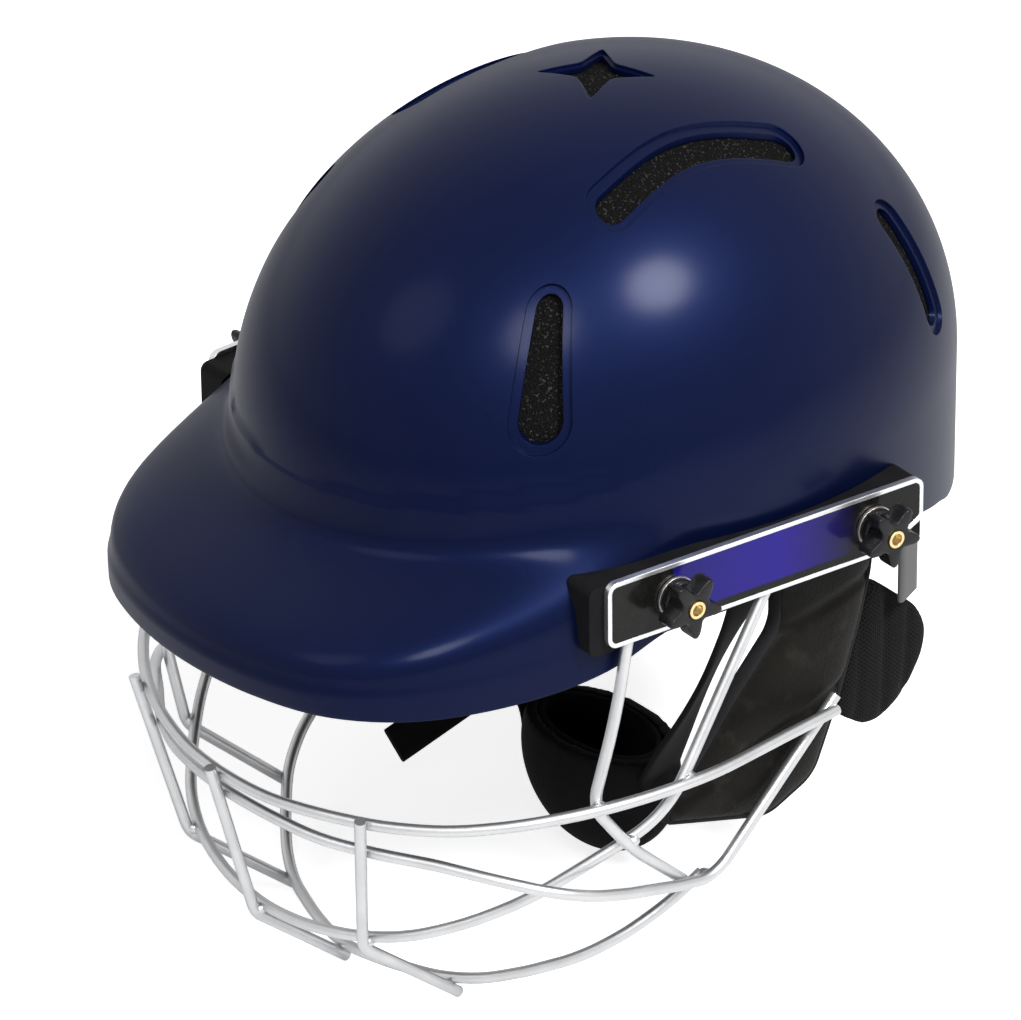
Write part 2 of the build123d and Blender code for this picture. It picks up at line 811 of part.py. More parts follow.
knee_drop = Vector(front_brace_knee_bow, 0, front_brace_knee_level - brace_end_level)
knee = brace_end(front_brace_knee_place) + knee_drop
bend_touch = beside(top_path, reached(top_path, "Y", front_brace_bend_place), -grip)
brace_foot = beside(second_path, reached(second_path, "Y", front_brace_end_place), -grip)
meeting = beside(main_path, reached(main_path, "Y", brace_meeting_place), grip, bend_touch - brace_foot)
front_brace_path = bent_path([
    brace_end(front_brace_place),
    knee,
    corner_outside(knee, bend_touch, meeting),
    meeting,
    brace_foot,
], (2,))

top_hoop = wire_piece(top_path)
second_hoop = wire_piece(second_path)
main_hoop = wire_piece(main_path)
chin_hoop = wire_piece(chin_path)
centre_bar = wire_piece(centre_path)
finish(top_hoop, "top_hoop")
finish(second_hoop, "second_hoop")
finish(main_hoop, "main_hoop")
finish(chin_hoop, "chin_hoop")
finish(centre_bar, "centre_bar")
side_bar = wire_piece(side_path)
finish_pair(side_bar, "side_bar")
front_brace = wire_piece(front_brace_path)
finish_pair(front_brace, "front_brace")

# Extra tie bar, on the right side only
with BuildPart() as right_tie_bar:
    mirror(wire_piece(far_path).part, about=Plane.YZ)
finish(right_tie_bar, "right_tie_bar")

# Ear guards with the tongue that hangs them from the shell
with BuildPart() as ear_guard:
    add(upright_pad(
        outline_points(
            ear_guard_shares, ear_guard_front, ear_guard_length, ear_guard_bottom, ear_guard_height,
        ),
        ear_guard_corner,
        ear_guard_inner,
        ear_guard_thickness,
        ear_guard_edge,
    ))
    hanger_bottom = ear_guard_bottom + ear_guard_height - hanger_overlap
    hanger_middle = ear_guard_inner + ear_guard_thickness / 2
    with BuildSketch(Plane.YZ.offset(hanger_middle - hanger_thickness / 2)):
        with Locations((hanger_place, (hanger_top + hanger_bottom) / 2)):
            RectangleRounded(hanger_width, hanger_top - hanger_bottom, ear_guard_corner)
    extrude(amount=hanger_thickness)
finish_pair(ear_guard, "ear_guard")

# Studs that hold the ear guards to the inside of the shell
with BuildPart() as ear_guard_studs:
    with BuildSketch(Plane.YZ.offset(hanger_middle + hanger_thickness / 2)):
        with Locations(*[(place, ear_stud_level) for place in ear_stud_places]):
            Circle(ear_stud_diameter / 2)
    extrude(amount=shell_half_width)
    add(shell_form(-shell_wall - fit_gap), mode=Mode.INTERSECT)
    mirror(about=Plane.YZ)
finish(ear_guard_studs, "ear_guard_studs")

# Mesh pads behind the ear guards
tab_place = tab_share * shell_half_length
with BuildPart() as mesh_pad:
    add(upright_pad(
        outline_points(
            mesh_pad_shares,
            tab_place - mesh_pad_setback,
            mesh_pad_length,
            mesh_pad_bottom,
            mesh_pad_height,
        ),
        mesh_pad_corner,
        mesh_pad_outer - mesh_pad_thickness,
        mesh_pad_thickness,
        mesh_pad_edge,
    ))
finish_pair(mesh_pad, "mesh_pad")

# Tabs that hang the mesh pads inside the rim, flat along the wall of the shell
wall_half_width = shell_half_width - shell_wall
wall_half_length = shell_half_length - shell_wall
wall_share = tab_place / wall_half_length
tab_wall = Vector(wall_half_width * sqrt(1 - wall_share * wall_share), tab_place, 0)
tab_normal = Vector(tab_wall.X / wall_half_width ** 2, tab_wall.Y / wall_half_length ** 2, 0).normalized()
tab_plane = Plane(origin=tab_wall, x_dir=(-tab_normal.Y, tab_normal.X, 0), z_dir=tab_normal)
with BuildPart() as pad_tab:
    with BuildSketch(tab_plane.offset(-tab_gap)):
        with Locations((0, (tab_top + tab_bottom) / 2)):
            RectangleRounded(tab_width, tab_top - tab_bottom, tab_width / 6)
    extrude(amount=-tab_thickness)
finish_pair(pad_tab, "pad_tab")

# Chin strap: each half lies in one plane that leans from its rivet to the cup
strap_reach = strap_pivot_level - strap_cup_level
harness_lean = atan2(strap_cup_place - strap_top_place, strap_reach)
harness_plane = Plane(
    origin=(0, strap_top_place, strap_pivot_level),
    x_dir=(1, 0, 0),
    z_dir=(0, -cos(harness_lean), -sin(harness_lean)),
)


def harness_point(offset, level):
    """A point of the harness plane at a level."""
    slant = (level - strap_pivot_level) / cos(harness_lean)
    return harness_plane.from_local_coords(Vector(offset, slant, 0))


strap_side = harness_point(strap_side_offset, strap_side_level)
strap_bottom = harness_point(strap_cup_offset, strap_cup_level)
strap_path = bent_path([
    harness_point(strap_top_offset, strap_top_level),
    harness_point(strap_top_offset, strap_exit_level),
    strap_side,
    strap_bottom,
    harness_point(strap_cup_offset, strap_end_level),
])
with BuildPart() as chin_strap:
    with BuildSketch(Plane(origin=strap_path @ 0, x_dir=harness_plane.z_dir, z_dir=strap_path % 0)):
        Rectangle(strap_width, strap_thickness)
    sweep(path=strap_path)
    with BuildSketch(Plane.YZ):
        with Locations((strap_top_place, strap_pivot_level)):
            Circle(strap_shank_diameter / 2 + bolt_clearance)
    extrude(amount=far_point, mode=Mode.SUBTRACT)
finish_pair(chin_strap, "chin_strap")

# Rivets that hold the straps inside the shell
strap_inner_face = strap_top_offset - strap_thickness / 2 - fit_gap
with BuildPart() as strap_rivets:
    with BuildSketch(Plane.YZ.offset(strap_inner_face)):
        with Locations((strap_top_place, strap_pivot_level)):
            Circle(strap_rivet_diameter / 2)
    extrude(amount=-strap_rivet_head)
    with BuildPart(mode=Mode.PRIVATE) as strap_shank:
        with BuildSketch(Plane.YZ.offset(strap_inner_face)):
            with Locations((strap_top_place, strap_pivot_level)):
                Circle(strap_shank_diameter / 2)
        extrude(amount=shell_half_width)
        add(shell_form(0), mode=Mode.INTERSECT)
    add(strap_shank.part)
    mirror(about=Plane.YZ)
finish(strap_rivets, "strap_rivets")


def bowl(half_width, half_depth, drop, rise):
    """The lower part of an ellipsoid about the middle of the cup, open-topped where it is cut."""
    turn = degrees(asin(rise / drop))
    with BuildPart() as form:
        with BuildSketch(Plane.XZ):
            with BuildLine():
                middle = (0, cup_level)
                arc = EllipticalCenterArc(middle, half_width, drop, start_angle=-90, arc_size=90 + turn)
                Polyline(arc @ 1, (0, (arc @ 1).Y), arc @ 0)
            make_face()
        revolve(axis=Axis.Z)
        scale(by=(1, half_depth / half_width, 1))
    return form.part.moved(Location((0, cup_place, 0)))


# Chin cup and its soft lining
lining_outer = cup_wall + fit_gap
lining_inner = lining_outer + cup_lining_thickness
with BuildPart() as chin_cup:
    add(bowl(cup_half_width, cup_half_depth, cup_drop, cup_rise))
    cup_hollow = bowl(
        cup_half_width - cup_wall, cup_half_depth - cup_wall, cup_drop - cup_wall, cup_rise + cup_wall,
    )
    add(cup_hollow, mode=Mode.SUBTRACT)
finish(chin_cup, "chin_cup")
with BuildPart() as cup_lining:
    add(bowl(
        cup_half_width - lining_outer, cup_half_depth - lining_outer, cup_drop - lining_outer, cup_rise,
    ))
    add(bowl(cup_half_width - lining_inner, cup_half_depth - lining_inner, cup_drop - lining_inner,
             cup_rise + cup_wall), mode=Mode.SUBTRACT)
finish(cup_lining, "cup_lining")

# Slider on the right strap, and the free end of the strap that it holds
strap_run = (strap_bottom - strap_side).normalized()
slider_middle = strap_bottom + strap_run * ((slider_place - strap_cup_level) / strap_run.Z)
slider_plane = Plane(origin=slider_middle, x_dir=harness_plane.z_dir, z_dir=strap_run)
with BuildPart() as left_slider:
    with BuildSketch(slider_plane):
        RectangleRounded(slider_width, slider_depth, slider_depth / 4)
        Rectangle(strap_width + 2 * slider_gap, strap_thickness + 2 * slider_gap, mode=Mode.SUBTRACT)
    extrude(amount=slider_length / 2, both=True)
with BuildPart() as strap_slider:
    mirror(left_slider.part, about=Plane.YZ)
finish(strap_slider, "strap_slider")
tongue_turn = atan2(tongue_sag, tongue_length)
tongue_start = slider_middle + harness_plane.z_dir * (slider_width / 2 - tongue_root)
tongue_plane = Plane(
    origin=tongue_start,
    x_dir=harness_plane.z_dir * cos(tongue_turn) + strap_run * sin(tongue_turn),
    z_dir=slider_plane.y_dir,
)
with BuildPart() as left_tongue:
    with BuildSketch(tongue_plane) as tongue_outline:
        with Locations((tongue_length / 2, 0)):
            Rectangle(tongue_length, tongue_width)
        fillet(tongue_outline.vertices().sort_by(Axis.Y)[:2], tongue_end_round)
    extrude(amount=strap_thickness / 2, both=True)
with BuildPart() as strap_tongue:
    mirror(left_tongue.part, about=Plane.YZ)
finish(strap_tongue, "strap_tongue")
print("slider moves along", tuple(-strap_run), "from", tuple(slider_middle))
print("harness lean", degrees(harness_lean))
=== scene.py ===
from itertools import combinations
from math import acos, atan2, cos, hypot, pi, radians, sin, sqrt, tan

import bmesh
import bpy
import numpy as np
from mathutils import Matrix, Vector
from mathutils.kdtree import KDTree


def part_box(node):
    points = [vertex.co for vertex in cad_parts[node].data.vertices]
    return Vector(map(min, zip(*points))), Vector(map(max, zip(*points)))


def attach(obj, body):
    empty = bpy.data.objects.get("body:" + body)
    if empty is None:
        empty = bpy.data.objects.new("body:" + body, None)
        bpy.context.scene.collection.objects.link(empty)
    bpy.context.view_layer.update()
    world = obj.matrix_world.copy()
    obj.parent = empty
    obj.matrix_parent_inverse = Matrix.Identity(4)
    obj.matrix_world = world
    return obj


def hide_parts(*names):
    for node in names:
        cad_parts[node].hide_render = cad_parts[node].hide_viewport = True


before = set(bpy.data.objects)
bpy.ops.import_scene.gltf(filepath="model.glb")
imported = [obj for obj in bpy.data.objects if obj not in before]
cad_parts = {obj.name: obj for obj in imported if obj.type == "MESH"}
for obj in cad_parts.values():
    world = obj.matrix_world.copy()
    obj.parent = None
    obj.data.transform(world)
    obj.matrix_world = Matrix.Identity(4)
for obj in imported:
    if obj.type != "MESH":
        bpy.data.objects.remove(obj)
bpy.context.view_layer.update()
mm = 0.001  # shapes are worked out in millimetres and scaled once
sides = ("left", "right")
closeEnough = 0.0005  # points nearer than this are one, in millimetres

cameraView = {  # where the photograph was taken from, in metres and degrees
    "azimuth": 51.85, "elevation": 27.96, "roll": -0.58,
    "distance": 2.6525, "right": -0.0646, "up": -0.1551, "lens": 260.8, "sensor": 36, "clip": 50,
    "pivot": (0, -0.124, -0.285),  # the point that the distance is taken from
}


def makeCamera():
    turn, rise, roll = (radians(cameraView[k]) for k in ("azimuth", "elevation", "roll"))
    level = Vector((cos(turn), sin(turn), 0))
    ahead = Vector((-sin(turn) * cos(rise), cos(turn) * cos(rise), -sin(rise)))
    upright = level.cross(ahead)
    right = level * cos(roll) + upright * sin(roll)
    up = upright * cos(roll) - level * sin(roll)
    eye = Vector(cameraView["pivot"]) - ahead * cameraView["distance"]
    eye = eye - right * cameraView["right"] - up * cameraView["up"]
    camera = bpy.data.objects.new("camera", bpy.data.cameras.new("camera"))
    bpy.context.scene.collection.objects.link(camera)
    camera.data.lens = cameraView["lens"]
    camera.data.sensor_width = cameraView["sensor"]
    camera.data.clip_end = cameraView["clip"]
    camera.matrix_world = Matrix((
        (right.x, up.x, -ahead.x, eye.x),
        (right.y, up.y, -ahead.y, eye.y),
        (right.z, up.z, -ahead.z, eye.z),
        (0, 0, 0, 1),
    ))
    bpy.context.scene.camera = camera


makeCamera()
print("camera placed")


class Value:  # a socket that can be used in plain sums
    def __init__(self, tree, socket):
        self.tree, self.socket = tree, socket

    def join(self, operation, *others):
        made = self.tree.nodes.new("ShaderNodeMath")
        made.operation = operation
        for place, item in zip(made.inputs, (self, *others)):
            feed(self.tree, place, item)
        return Value(self.tree, made.outputs[0])

    def __add__(self, other):
        return self.join("ADD", other)

    def __sub__(self, other):
        return self.join("SUBTRACT", other)

    def __mul__(self, other):
        return self.join("MULTIPLY", other)

    def __truediv__(self, other):
        return self.join("DIVIDE", other)

    def __rsub__(self, other):
        return self.join("MULTIPLY", -1).join("ADD", other)

    __radd__ = __add__
    __rmul__ = __mul__

    def above(self, edge, soft):  # 0 below the edge, 1 above it, over a soft width
        return ((self - (edge - soft / 2)) / soft).join("MAXIMUM", 0).join("MINIMUM", 1)

    def wave(self, length):  # -1 to 1 over each length
        return (self * (2 * pi / length)).join("SINE")


def feed(tree, place, item):
    if isinstance(item, Value):
        tree.links.new(item.socket, place)
    else:
        place.default_value = item


mixSockets = {"mask": 0, "first": 6, "second": 7, "result": 2}  # where a Mix node keeps its colours


class Finish:  # one material with its shader
    def __init__(self, name, uniform):
        self.material = bpy.data.materials.new(name)
        self.material.use_nodes = True
        self.tree = self.material.node_tree
        self.shader = self.tree.nodes["Principled BSDF"]
        for socket, value in uniform.items():
            self.shader.inputs[socket].default_value = value
        self.place = self.node("ShaderNodeTexCoord", {}, {}, "Object")

    def node(self, kind, settings, inputs, output=0):
        made = self.tree.nodes.new(kind)
        for key, value in settings.items():
            setattr(made, key, value)
        for key, value in inputs.items():
            feed(self.tree, made.inputs[key], value)
        return Value(self.tree, made.outputs[output])

    def set(self, **links):
        for key, value in links.items():
            feed(self.tree, self.shader.inputs[key.replace("_", " ")], value)

    def noise(self, scale, detail=2.0, vector=None, rough=0.5):
        return self.node("ShaderNodeTexNoise", {}, {
            "Vector": vector or self.place, "Scale": scale, "Detail": detail, "Roughness": rough,
        })

    def cells(self, scale, feature="F1"):
        inputs = {"Vector": self.place, "Scale": scale}
        return self.node("ShaderNodeTexVoronoi", {"feature": feature}, inputs, "Distance")

    def blend(self, mask, first, second):
        m = mixSockets
        inputs = {m["mask"]: mask, m["first"]: first, m["second"]: second}
        return self.node("ShaderNodeMix", {"data_type": "RGBA"}, inputs, m["result"])

    def parts(self, vector=None):
        split = self.tree.nodes.new("ShaderNodeSeparateXYZ")
        feed(self.tree, split.inputs[0], vector or self.place)
        return [Value(self.tree, out) for out in split.outputs]

    def vector(self, x, y, z):
        return self.node("ShaderNodeCombineXYZ", {}, {0: x, 1: y, 2: z})

    def uv(self):
        return self.node("ShaderNodeUVMap", {"uv_map": "UVMap"}, {})

    def relief(self, height, distance, strength=1.0, soften=0.0):
        inputs = {"Height": height, "Distance": distance, "Strength": strength}
        if soften:
            inputs["Normal"] = self.node("ShaderNodeBevel", {"samples": 4}, {"Radius": soften})
        self.set(Normal=self.node("ShaderNodeBump", {}, inputs))


def colour(red, green, blue):
    return (red, green, blue, 1.0)


def grey(tone):
    return colour(tone, tone, tone)


def shellPaint():
    look = {
        "deep": colour(0.0010, 0.0023, 0.0135), "fair": colour(0.0014, 0.0031, 0.018),
        "sheen": colour(0.10, 0.22, 1.0), "dust": colour(0.25, 0.28, 0.4), "dustWeight": 0.02,
    }
    paint = Finish("shellPaint", {
        "Specular IOR Level": 0.17, "Specular Tint": look["sheen"], "Coat Roughness": 0.19,
    })
    drift = paint.noise(14, detail=3)
    grain = paint.noise(2600, detail=2)
    dust = paint.cells(420).above(0.09, soft=0.05)  # a few pale specks, as on the real paint
    tone = paint.blend(drift, look["deep"], look["fair"])
    paint.set(
        Base_Color=paint.blend((1 - dust) * look["dustWeight"], tone, look["dust"]),
        Roughness=0.38 + drift * 0.04 + grain * 0.03,
        Coat_Weight=0.085 + drift * 0.02,
    )
    paint.relief(grain * 0.6 + paint.noise(260, detail=2) * 0.4, 0.00006, strength=0.35, soften=0.0007)
    return paint.material


def cellFoam():
    look = {
        # the first colour is painted shade for the hollows between the cells, darker than the cell walls
        "pit": grey(0.004), "wall": colour(0.006, 0.006, 0.0065),
        "glint": colour(0.050, 0.050, 0.047), "cells": 1150,
    }
    scale = look["cells"]
    foam = Finish("ventFoam", {"Specular IOR Level": 0.05})
    cell = foam.cells(scale)
    crumb = foam.cells(scale * 2.3)
    # the hollows between the cells, where the bump sinks the foam, are painted darker as painted shade
    pitShade = cell.above(0.42, soft=0.3)
    glint = foam.noise(scale * 0.9, detail=3).above(0.63, soft=0.07) * crumb.above(0.28, soft=0.1)
    foam.set(
        Base_Color=foam.blend(glint * 0.85, foam.blend(pitShade, look["wall"], look["pit"]), look["glint"]),
        Roughness=0.85 - glint * 0.2,
    )
    foam.relief(crumb * 0.4 - cell * 0.8, 0.0012, strength=0.9)
    return foam.material


def liningCloth():
    look = {"dark": colour(0.008, 0.008, 0.009), "pale": colour(0.028, 0.028, 0.03)}
    cloth = Finish("liningCloth", {"Specular IOR Level": 0.05, "Sheen Weight": 0.02, "Sheen Roughness": 0.5})
    fuzz = cloth.noise(1500, detail=3)
    patch = cloth.noise(60, detail=2)
    cloth.set(
        Base_Color=cloth.blend(fuzz * 0.7 + patch * 0.3, look["dark"], look["pale"]),
        Roughness=0.86 + fuzz * 0.1,
    )
    cloth.relief(fuzz, 0.0005, strength=0.6)
    return cloth.material


def guardLeather():
    look = {
        "deep": colour(0.0020, 0.0018, 0.0013), "fair": colour(0.0056, 0.0050, 0.0036),
        "worn": colour(0.018, 0.016, 0.012),
    }
    hide = Finish("guardLeather", {"Specular IOR Level": 0.08, "Coat Roughness": 0.34})
    grain = hide.cells(950, feature="SMOOTH_F1")
    pores = hide.noise(3000, detail=2)
    patch = hide.noise(38, detail=4, rough=0.6)
    worn = hide.noise(90, detail=3).above(0.62, soft=0.12) * patch.above(0.45, soft=0.2)
    tone = hide.blend(patch.above(0.5, soft=0.5), look["deep"], look["fair"])
    hide.set(
        Base_Color=hide.blend(worn * 0.5, tone, look["worn"]),
        Roughness=0.40 + patch * 0.12 + grain * 0.1,
        Coat_Weight=0.025 + worn * 0.05,
    )
    hide.relief(grain * 0.7 + pores * 0.2 + patch * 0.8, 0.0004, strength=0.5)
    return hide.material


def spacerMesh():
    look = {
        # the first colour is painted shade for the holes, drawn darker than the fabric around them
        "hole": grey(0.002), "acrossHole": 0.0019, "upHole": 0.0017,
        "dark": grey(0.004), "pale": colour(0.017, 0.0165, 0.016),
    }
    mesh = Finish("spacerMesh", {"Specular IOR Level": 0.06, "Sheen Weight": 0.03, "Sheen Roughness": 0.4})
    _, along, up = mesh.parts()
    # the holes of the mesh, painted darker as painted shade and sunk by the bump
    shadedHoles = (along.wave(look["acrossHole"]) * up.wave(look["upHole"])).above(0.25, soft=0.3)
    fuzz = mesh.noise(1800, detail=3)
    mesh.set(
        Base_Color=mesh.blend(shadedHoles, mesh.blend(fuzz, look["dark"], look["pale"]), look["hole"]),
        Roughness=0.78 + fuzz * 0.15,
    )
    mesh.relief(fuzz * 0.5 - shadedHoles * 0.8, 0.0008, strength=0.8)
    return mesh.material


def webbing(name, dark, pale, roughness):
    look = {"slant": 0.9, "twill": 1.35, "rib": 1.1}  # the weave, in millimetres
    band = Finish(name, {"Specular IOR Level": 0.06, "Sheen Weight": 0.02, "Sheen Roughness": 0.4})
    along, across, rest = band.parts(band.uv())
    twill = (along + across * look["slant"]).wave(look["twill"]) * 0.5 + 0.5
    ribs = across.wave(look["rib"]) * 0.5 + 0.5
    fibre = band.noise(9, detail=3, vector=band.vector(along * 3, across, rest))
    weave = twill * 0.6 + ribs * 0.4
    band.set(
        Base_Color=band.blend(weave * 0.6 + fibre * 0.4, dark, pale),
        Roughness=roughness + fibre * 0.12,
    )
    band.relief(weave + fibre * 0.4, 0.0003, strength=0.8)
    return band.material


def mouldedPlastic():
    look = {
        "dark": colour(0.004, 0.004, 0.0045), "pale": colour(0.012, 0.012, 0.013),
        "scuffStretch": (1, 0.2, 1),
    }
    plastic = Finish("mouldedPlastic", {"Specular IOR Level": 0.20})
    haze = plastic.noise(120, detail=3)
    drawn = [part * stretch for part, stretch in zip(plastic.parts(), look["scuffStretch"])]
    scuff = plastic.noise(700, detail=2, vector=plastic.vector(*drawn))
    plastic.set(
        Base_Color=plastic.blend(haze, look["dark"], look["pale"]),
        Roughness=0.20 + haze * 0.14 + scuff.above(0.62, soft=0.1) * 0.12,
    )
    plastic.relief(plastic.noise(1900, detail=2), 0.00008, strength=0.4, soften=0.0003)
    return plastic.material


def backingRubber():
    look = {"dark": colour(0.0035, 0.0035, 0.004), "pale": colour(0.010, 0.010, 0.011)}
    rubber = Finish("backingRubber", {"Specular IOR Level": 0.06})
    haze = rubber.noise(90, detail=3)
    rubber.set(
        Base_Color=rubber.blend(haze, look["dark"], look["pale"]),
        Roughness=0.52 + haze * 0.2,
    )
    rubber.relief(rubber.noise(2200, detail=2), 0.0001, strength=0.5, soften=0.0006)
    return rubber.material


def turnedBrass():
    look = {"dark": colour(0.62, 0.46, 0.20), "pale": colour(0.85, 0.70, 0.40)}
    brass = Finish("turnedBrass", {"Metallic": 1.0})
    rings = brass.noise(2500, detail=1)
    tarnish = brass.noise(500, detail=3)
    brass.set(
        Base_Color=brass.blend(tarnish, look["dark"], look["pale"]),
        Roughness=0.22 + tarnish * 0.2 + rings * 0.06,
    )
    brass.relief(rings, 0.00005, strength=0.5, soften=0.0003)
    return brass.material


def boltSteel():
    look = {"dark": colour(0.50, 0.47, 0.45), "pale": colour(0.66, 0.62, 0.60)}
    steel = Finish("boltSteel", {"Metallic": 1.0})
    marks = steel.noise(900, detail=3)
    stain = steel.noise(160, detail=2)
    steel.set(
        Base_Color=steel.blend(stain, look["dark"], look["pale"]),
        Roughness=0.28 + marks * 0.18,
    )
    steel.relief(marks, 0.00006, strength=0.5, soften=0.0004)
    return steel.material


def plateMetal():
    look = {"dark": colour(0.60, 0.61, 0.63), "pale": colour(0.80, 0.81, 0.82)}
    metal = Finish("plateMetal", {"Metallic": 1.0})
    x, y, z = metal.parts()
    brushed = metal.noise(1.0, detail=3, vector=metal.vector(x * 900, y * 60, z * 2400))
    smudge = metal.noise(45, detail=3)
    metal.set(
        Base_Color=metal.blend(brushed, look["dark"], look["pale"]),
        Roughness=0.24 + brushed * 0.14 + smudge * 0.08,
    )
    metal.relief(brushed, 0.00003, strength=0.5, soften=0.0005)
    return metal.material


def labelFilm():
    look = {  # the plain blue field: where it starts, fades and ends on the plate
        "start": -0.0605, "end": 0.002, "fade": 0.034, "corner": 0.007, "low": -0.1245, "soft": 0.0006,
        "deep": colour(0.010, 0.007, 0.125), "fair": colour(0.015, 0.007, 0.185),
        "deepUntil": -0.03, "deepFade": 0.06,
        "dark": grey(0.003), "pale": colour(0.010, 0.010, 0.009),
    }
    film = Finish("labelFilm", {"Specular IOR Level": 0.12, "Coat Weight": 0.06, "Coat Roughness": 0.06})
    _, y, z = film.parts()
    first = y.above(look["start"], look["soft"])
    fade = 1 - y.above(look["end"], look["fade"])
    away = (look["start"] + look["corner"] - y).join("MAXIMUM", 0)
    below = (look["low"] + look["corner"] - z).join("MAXIMUM", 0)
    corner = 1 - (away * away + below * below).join("SQRT").above(look["corner"], look["soft"])
    field = first * fade * corner
    mottle = film.noise(300, detail=3)
    blue = film.blend(y.above(look["deepUntil"], look["deepFade"]), look["deep"], look["fair"])
    black = film.blend(mottle, look["dark"], look["pale"])
    film.set(Base_Color=film.blend(field, black, blue), Roughness=0.16 + mottle * 0.08)
    film.relief(film.noise(900, detail=2), 0.00003, strength=0.3)
    return film.material


def wireSilver():
    look = {"dark": colour(0.46, 0.465, 0.475), "pale": colour(0.62, 0.625, 0.635)}
    wire = Finish("wireSilver", {"Specular IOR Level": 0.5, "Coat Roughness": 0.25})
    flow = wire.noise(900, detail=3)
    patch = wire.noise(70, detail=3)
    wire.set(
        Base_Color=wire.blend(patch, look["dark"], look["pale"]),
        Metallic=0.86 + patch * 0.10,
        Roughness=0.30 + flow * 0.10 + patch * 0.06,
        Coat_Weight=0.15 + patch * 0.1,
    )
    wire.relief(flow * 0.6 + wire.noise(260, detail=2) * 0.4, 0.00008, strength=0.5)
    return wire.material


def cupHide():
    look = {"dark": colour(0.0025, 0.0025, 0.0028), "pale": colour(0.0075, 0.0075, 0.008)}
    hide = Finish("cupHide", {"Specular IOR Level": 0.06})
    grain = hide.cells(800, feature="SMOOTH_F1")
    patch = hide.noise(60, detail=3)
    hide.set(
        Base_Color=hide.blend(patch, look["dark"], look["pale"]),
        Roughness=0.62 + patch * 0.15 + grain * 0.08,
    )
    hide.relief(grain + patch * 0.5, 0.0003, strength=0.5)
    return hide.material


paint = shellPaint()
foam = cellFoam()
cloth = liningCloth()
leather = guardLeather()
meshCloth = spacerMesh()
strapWeave = webbing("strapWeave", grey(0.0022), grey(0.0085), roughness=0.76)
tabWeave = webbing("tabWeave", grey(0.03), grey(0.19), roughness=0.30)
plastic = mouldedPlastic()
rubber = backingRubber()
brass = turnedBrass()
steel = boltSteel()
metal = plateMetal()
film = labelFilm()
silver = wireSilver()
hide = cupHide()
print("finishes made")


def bare(name, bm):  # a finished shape in millimetres becomes an object at the origin
    bmesh.ops.scale(bm, vec=(mm, mm, mm), verts=bm.verts)
    mesh = bpy.data.meshes.new(name)
    bm.to_mesh(mesh)
    bm.free()
    made = bpy.data.objects.new(name, mesh)
    bpy.context.scene.collection.objects.link(made)
    return made


def settle(made):  # the modifiers become the mesh
    graph = bpy.context.evaluated_depsgraph_get()
    mesh = bpy.data.meshes.new_from_object(made.evaluated_get(graph))
    made.modifiers.clear()
    made.data = mesh


def modify(made, kind, settings):  # one modifier with its settings
    step = made.modifiers.new(kind.lower(), kind)
    for key, value in settings.items():
        setattr(step, key, value)


# the piece gets its finish, its body and, from this angle on, sharp edges; it stands in for the solid
# called node
def dress(made, material, body, sharp, node=None):
    made.data.materials.clear()
    made.data.materials.append(material)
    made.data.shade_smooth()
    made.data.set_sharp_from_angle(angle=radians(sharp))
    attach(made, body)
    if node:
        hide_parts(node)


def repaint(material, *names):  # a solid that is kept gets its finish
    for name in names:
        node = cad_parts[name]
        if not node.material_slots:
            node.data.materials.append(material)
        for place in node.material_slots:
            place.material = material


def smoothLine(points, steps):  # a smooth line through points
    points = [np.array(p, float) for p in points]
    ends = [2 * points[0] - points[1], *points, 2 * points[-1] - points[-2]]
    line = []
    for a, b, c, d in zip(ends, ends[1:], ends[2:], ends[3:]):
        for k in range(steps):
            t = k / steps
            square = (2 * a - 5 * b + 4 * c - d) * t ** 2
            cube = (3 * b - a - 3 * c + d) * t ** 3
            line.append(0.5 * (2 * b + (c - a) * t + square + cube))
    return np.array([*line, points[-1]])


def lengthAlong(points):
    return np.concatenate([[0], np.cumsum(np.linalg.norm(np.diff(points, axis=0), axis=1))])


def evenLine(points, count):  # the same line in equal steps
    run = lengthAlong(points)
    at = np.linspace(0, run[-1], count + 1)
    return np.stack([np.interp(at, run, points[:, k]) for k in range(points.shape[1])], axis=1)


# a section carried along a path, with its UV in millimetres
def sweep(bm, path, widthways, section, closed=False):
    count, around = len(path), len(section)
    path = np.array(path, float)
    ahead = np.gradient(path, axis=0)
    if closed:
        ahead = np.roll(path, -1, axis=0) - np.roll(path, 1, axis=0)
    ahead /= np.linalg.norm(ahead, axis=1)[:, None]
    wide = np.array(widthways, float)
    wide = wide - ahead * np.sum(wide * ahead, axis=1)[:, None]
    wide /= np.linalg.norm(wide, axis=1)[:, None]
    deep = np.cross(ahead, wide)
    run, girth = lengthAlong(path), lengthAlong(np.array([*section, section[0]]))
    steps = count if closed else count - 1
    made = bmesh.ops.create_grid(bm, x_segments=steps, y_segments=around, size=1)["verts"]
    sheet = bm.loops.layers.uv.verify()
    spots = {v: (round((v.co.x + 1) / 2 * steps), round((v.co.y + 1) / 2 * around)) for v in made}
    for face in {f for v in made for f in v.link_faces}:
        for loop in face.loops:
            i, j = spots[loop.vert]
            loop[sheet].uv = (run[i] if i < count else run[-1] + 1, girth[j])
    for v, (i, j) in spots.items():
        w, h = section[j % around]
        v.co = Vector(path[i % count] + wide[i % count] * w + deep[i % count] * h)
    bmesh.ops.remove_doubles(bm, verts=made, dist=closeEnough)
    live = [v for v in made if v.is_valid]
    if not closed:
        edges = {e for v in live for e in v.link_edges if e.is_boundary}
        bmesh.ops.holes_fill(bm, edges=list(edges), sides=0)
    bmesh.ops.recalc_face_normals(bm, faces=list({f for v in live for f in v.link_faces}))


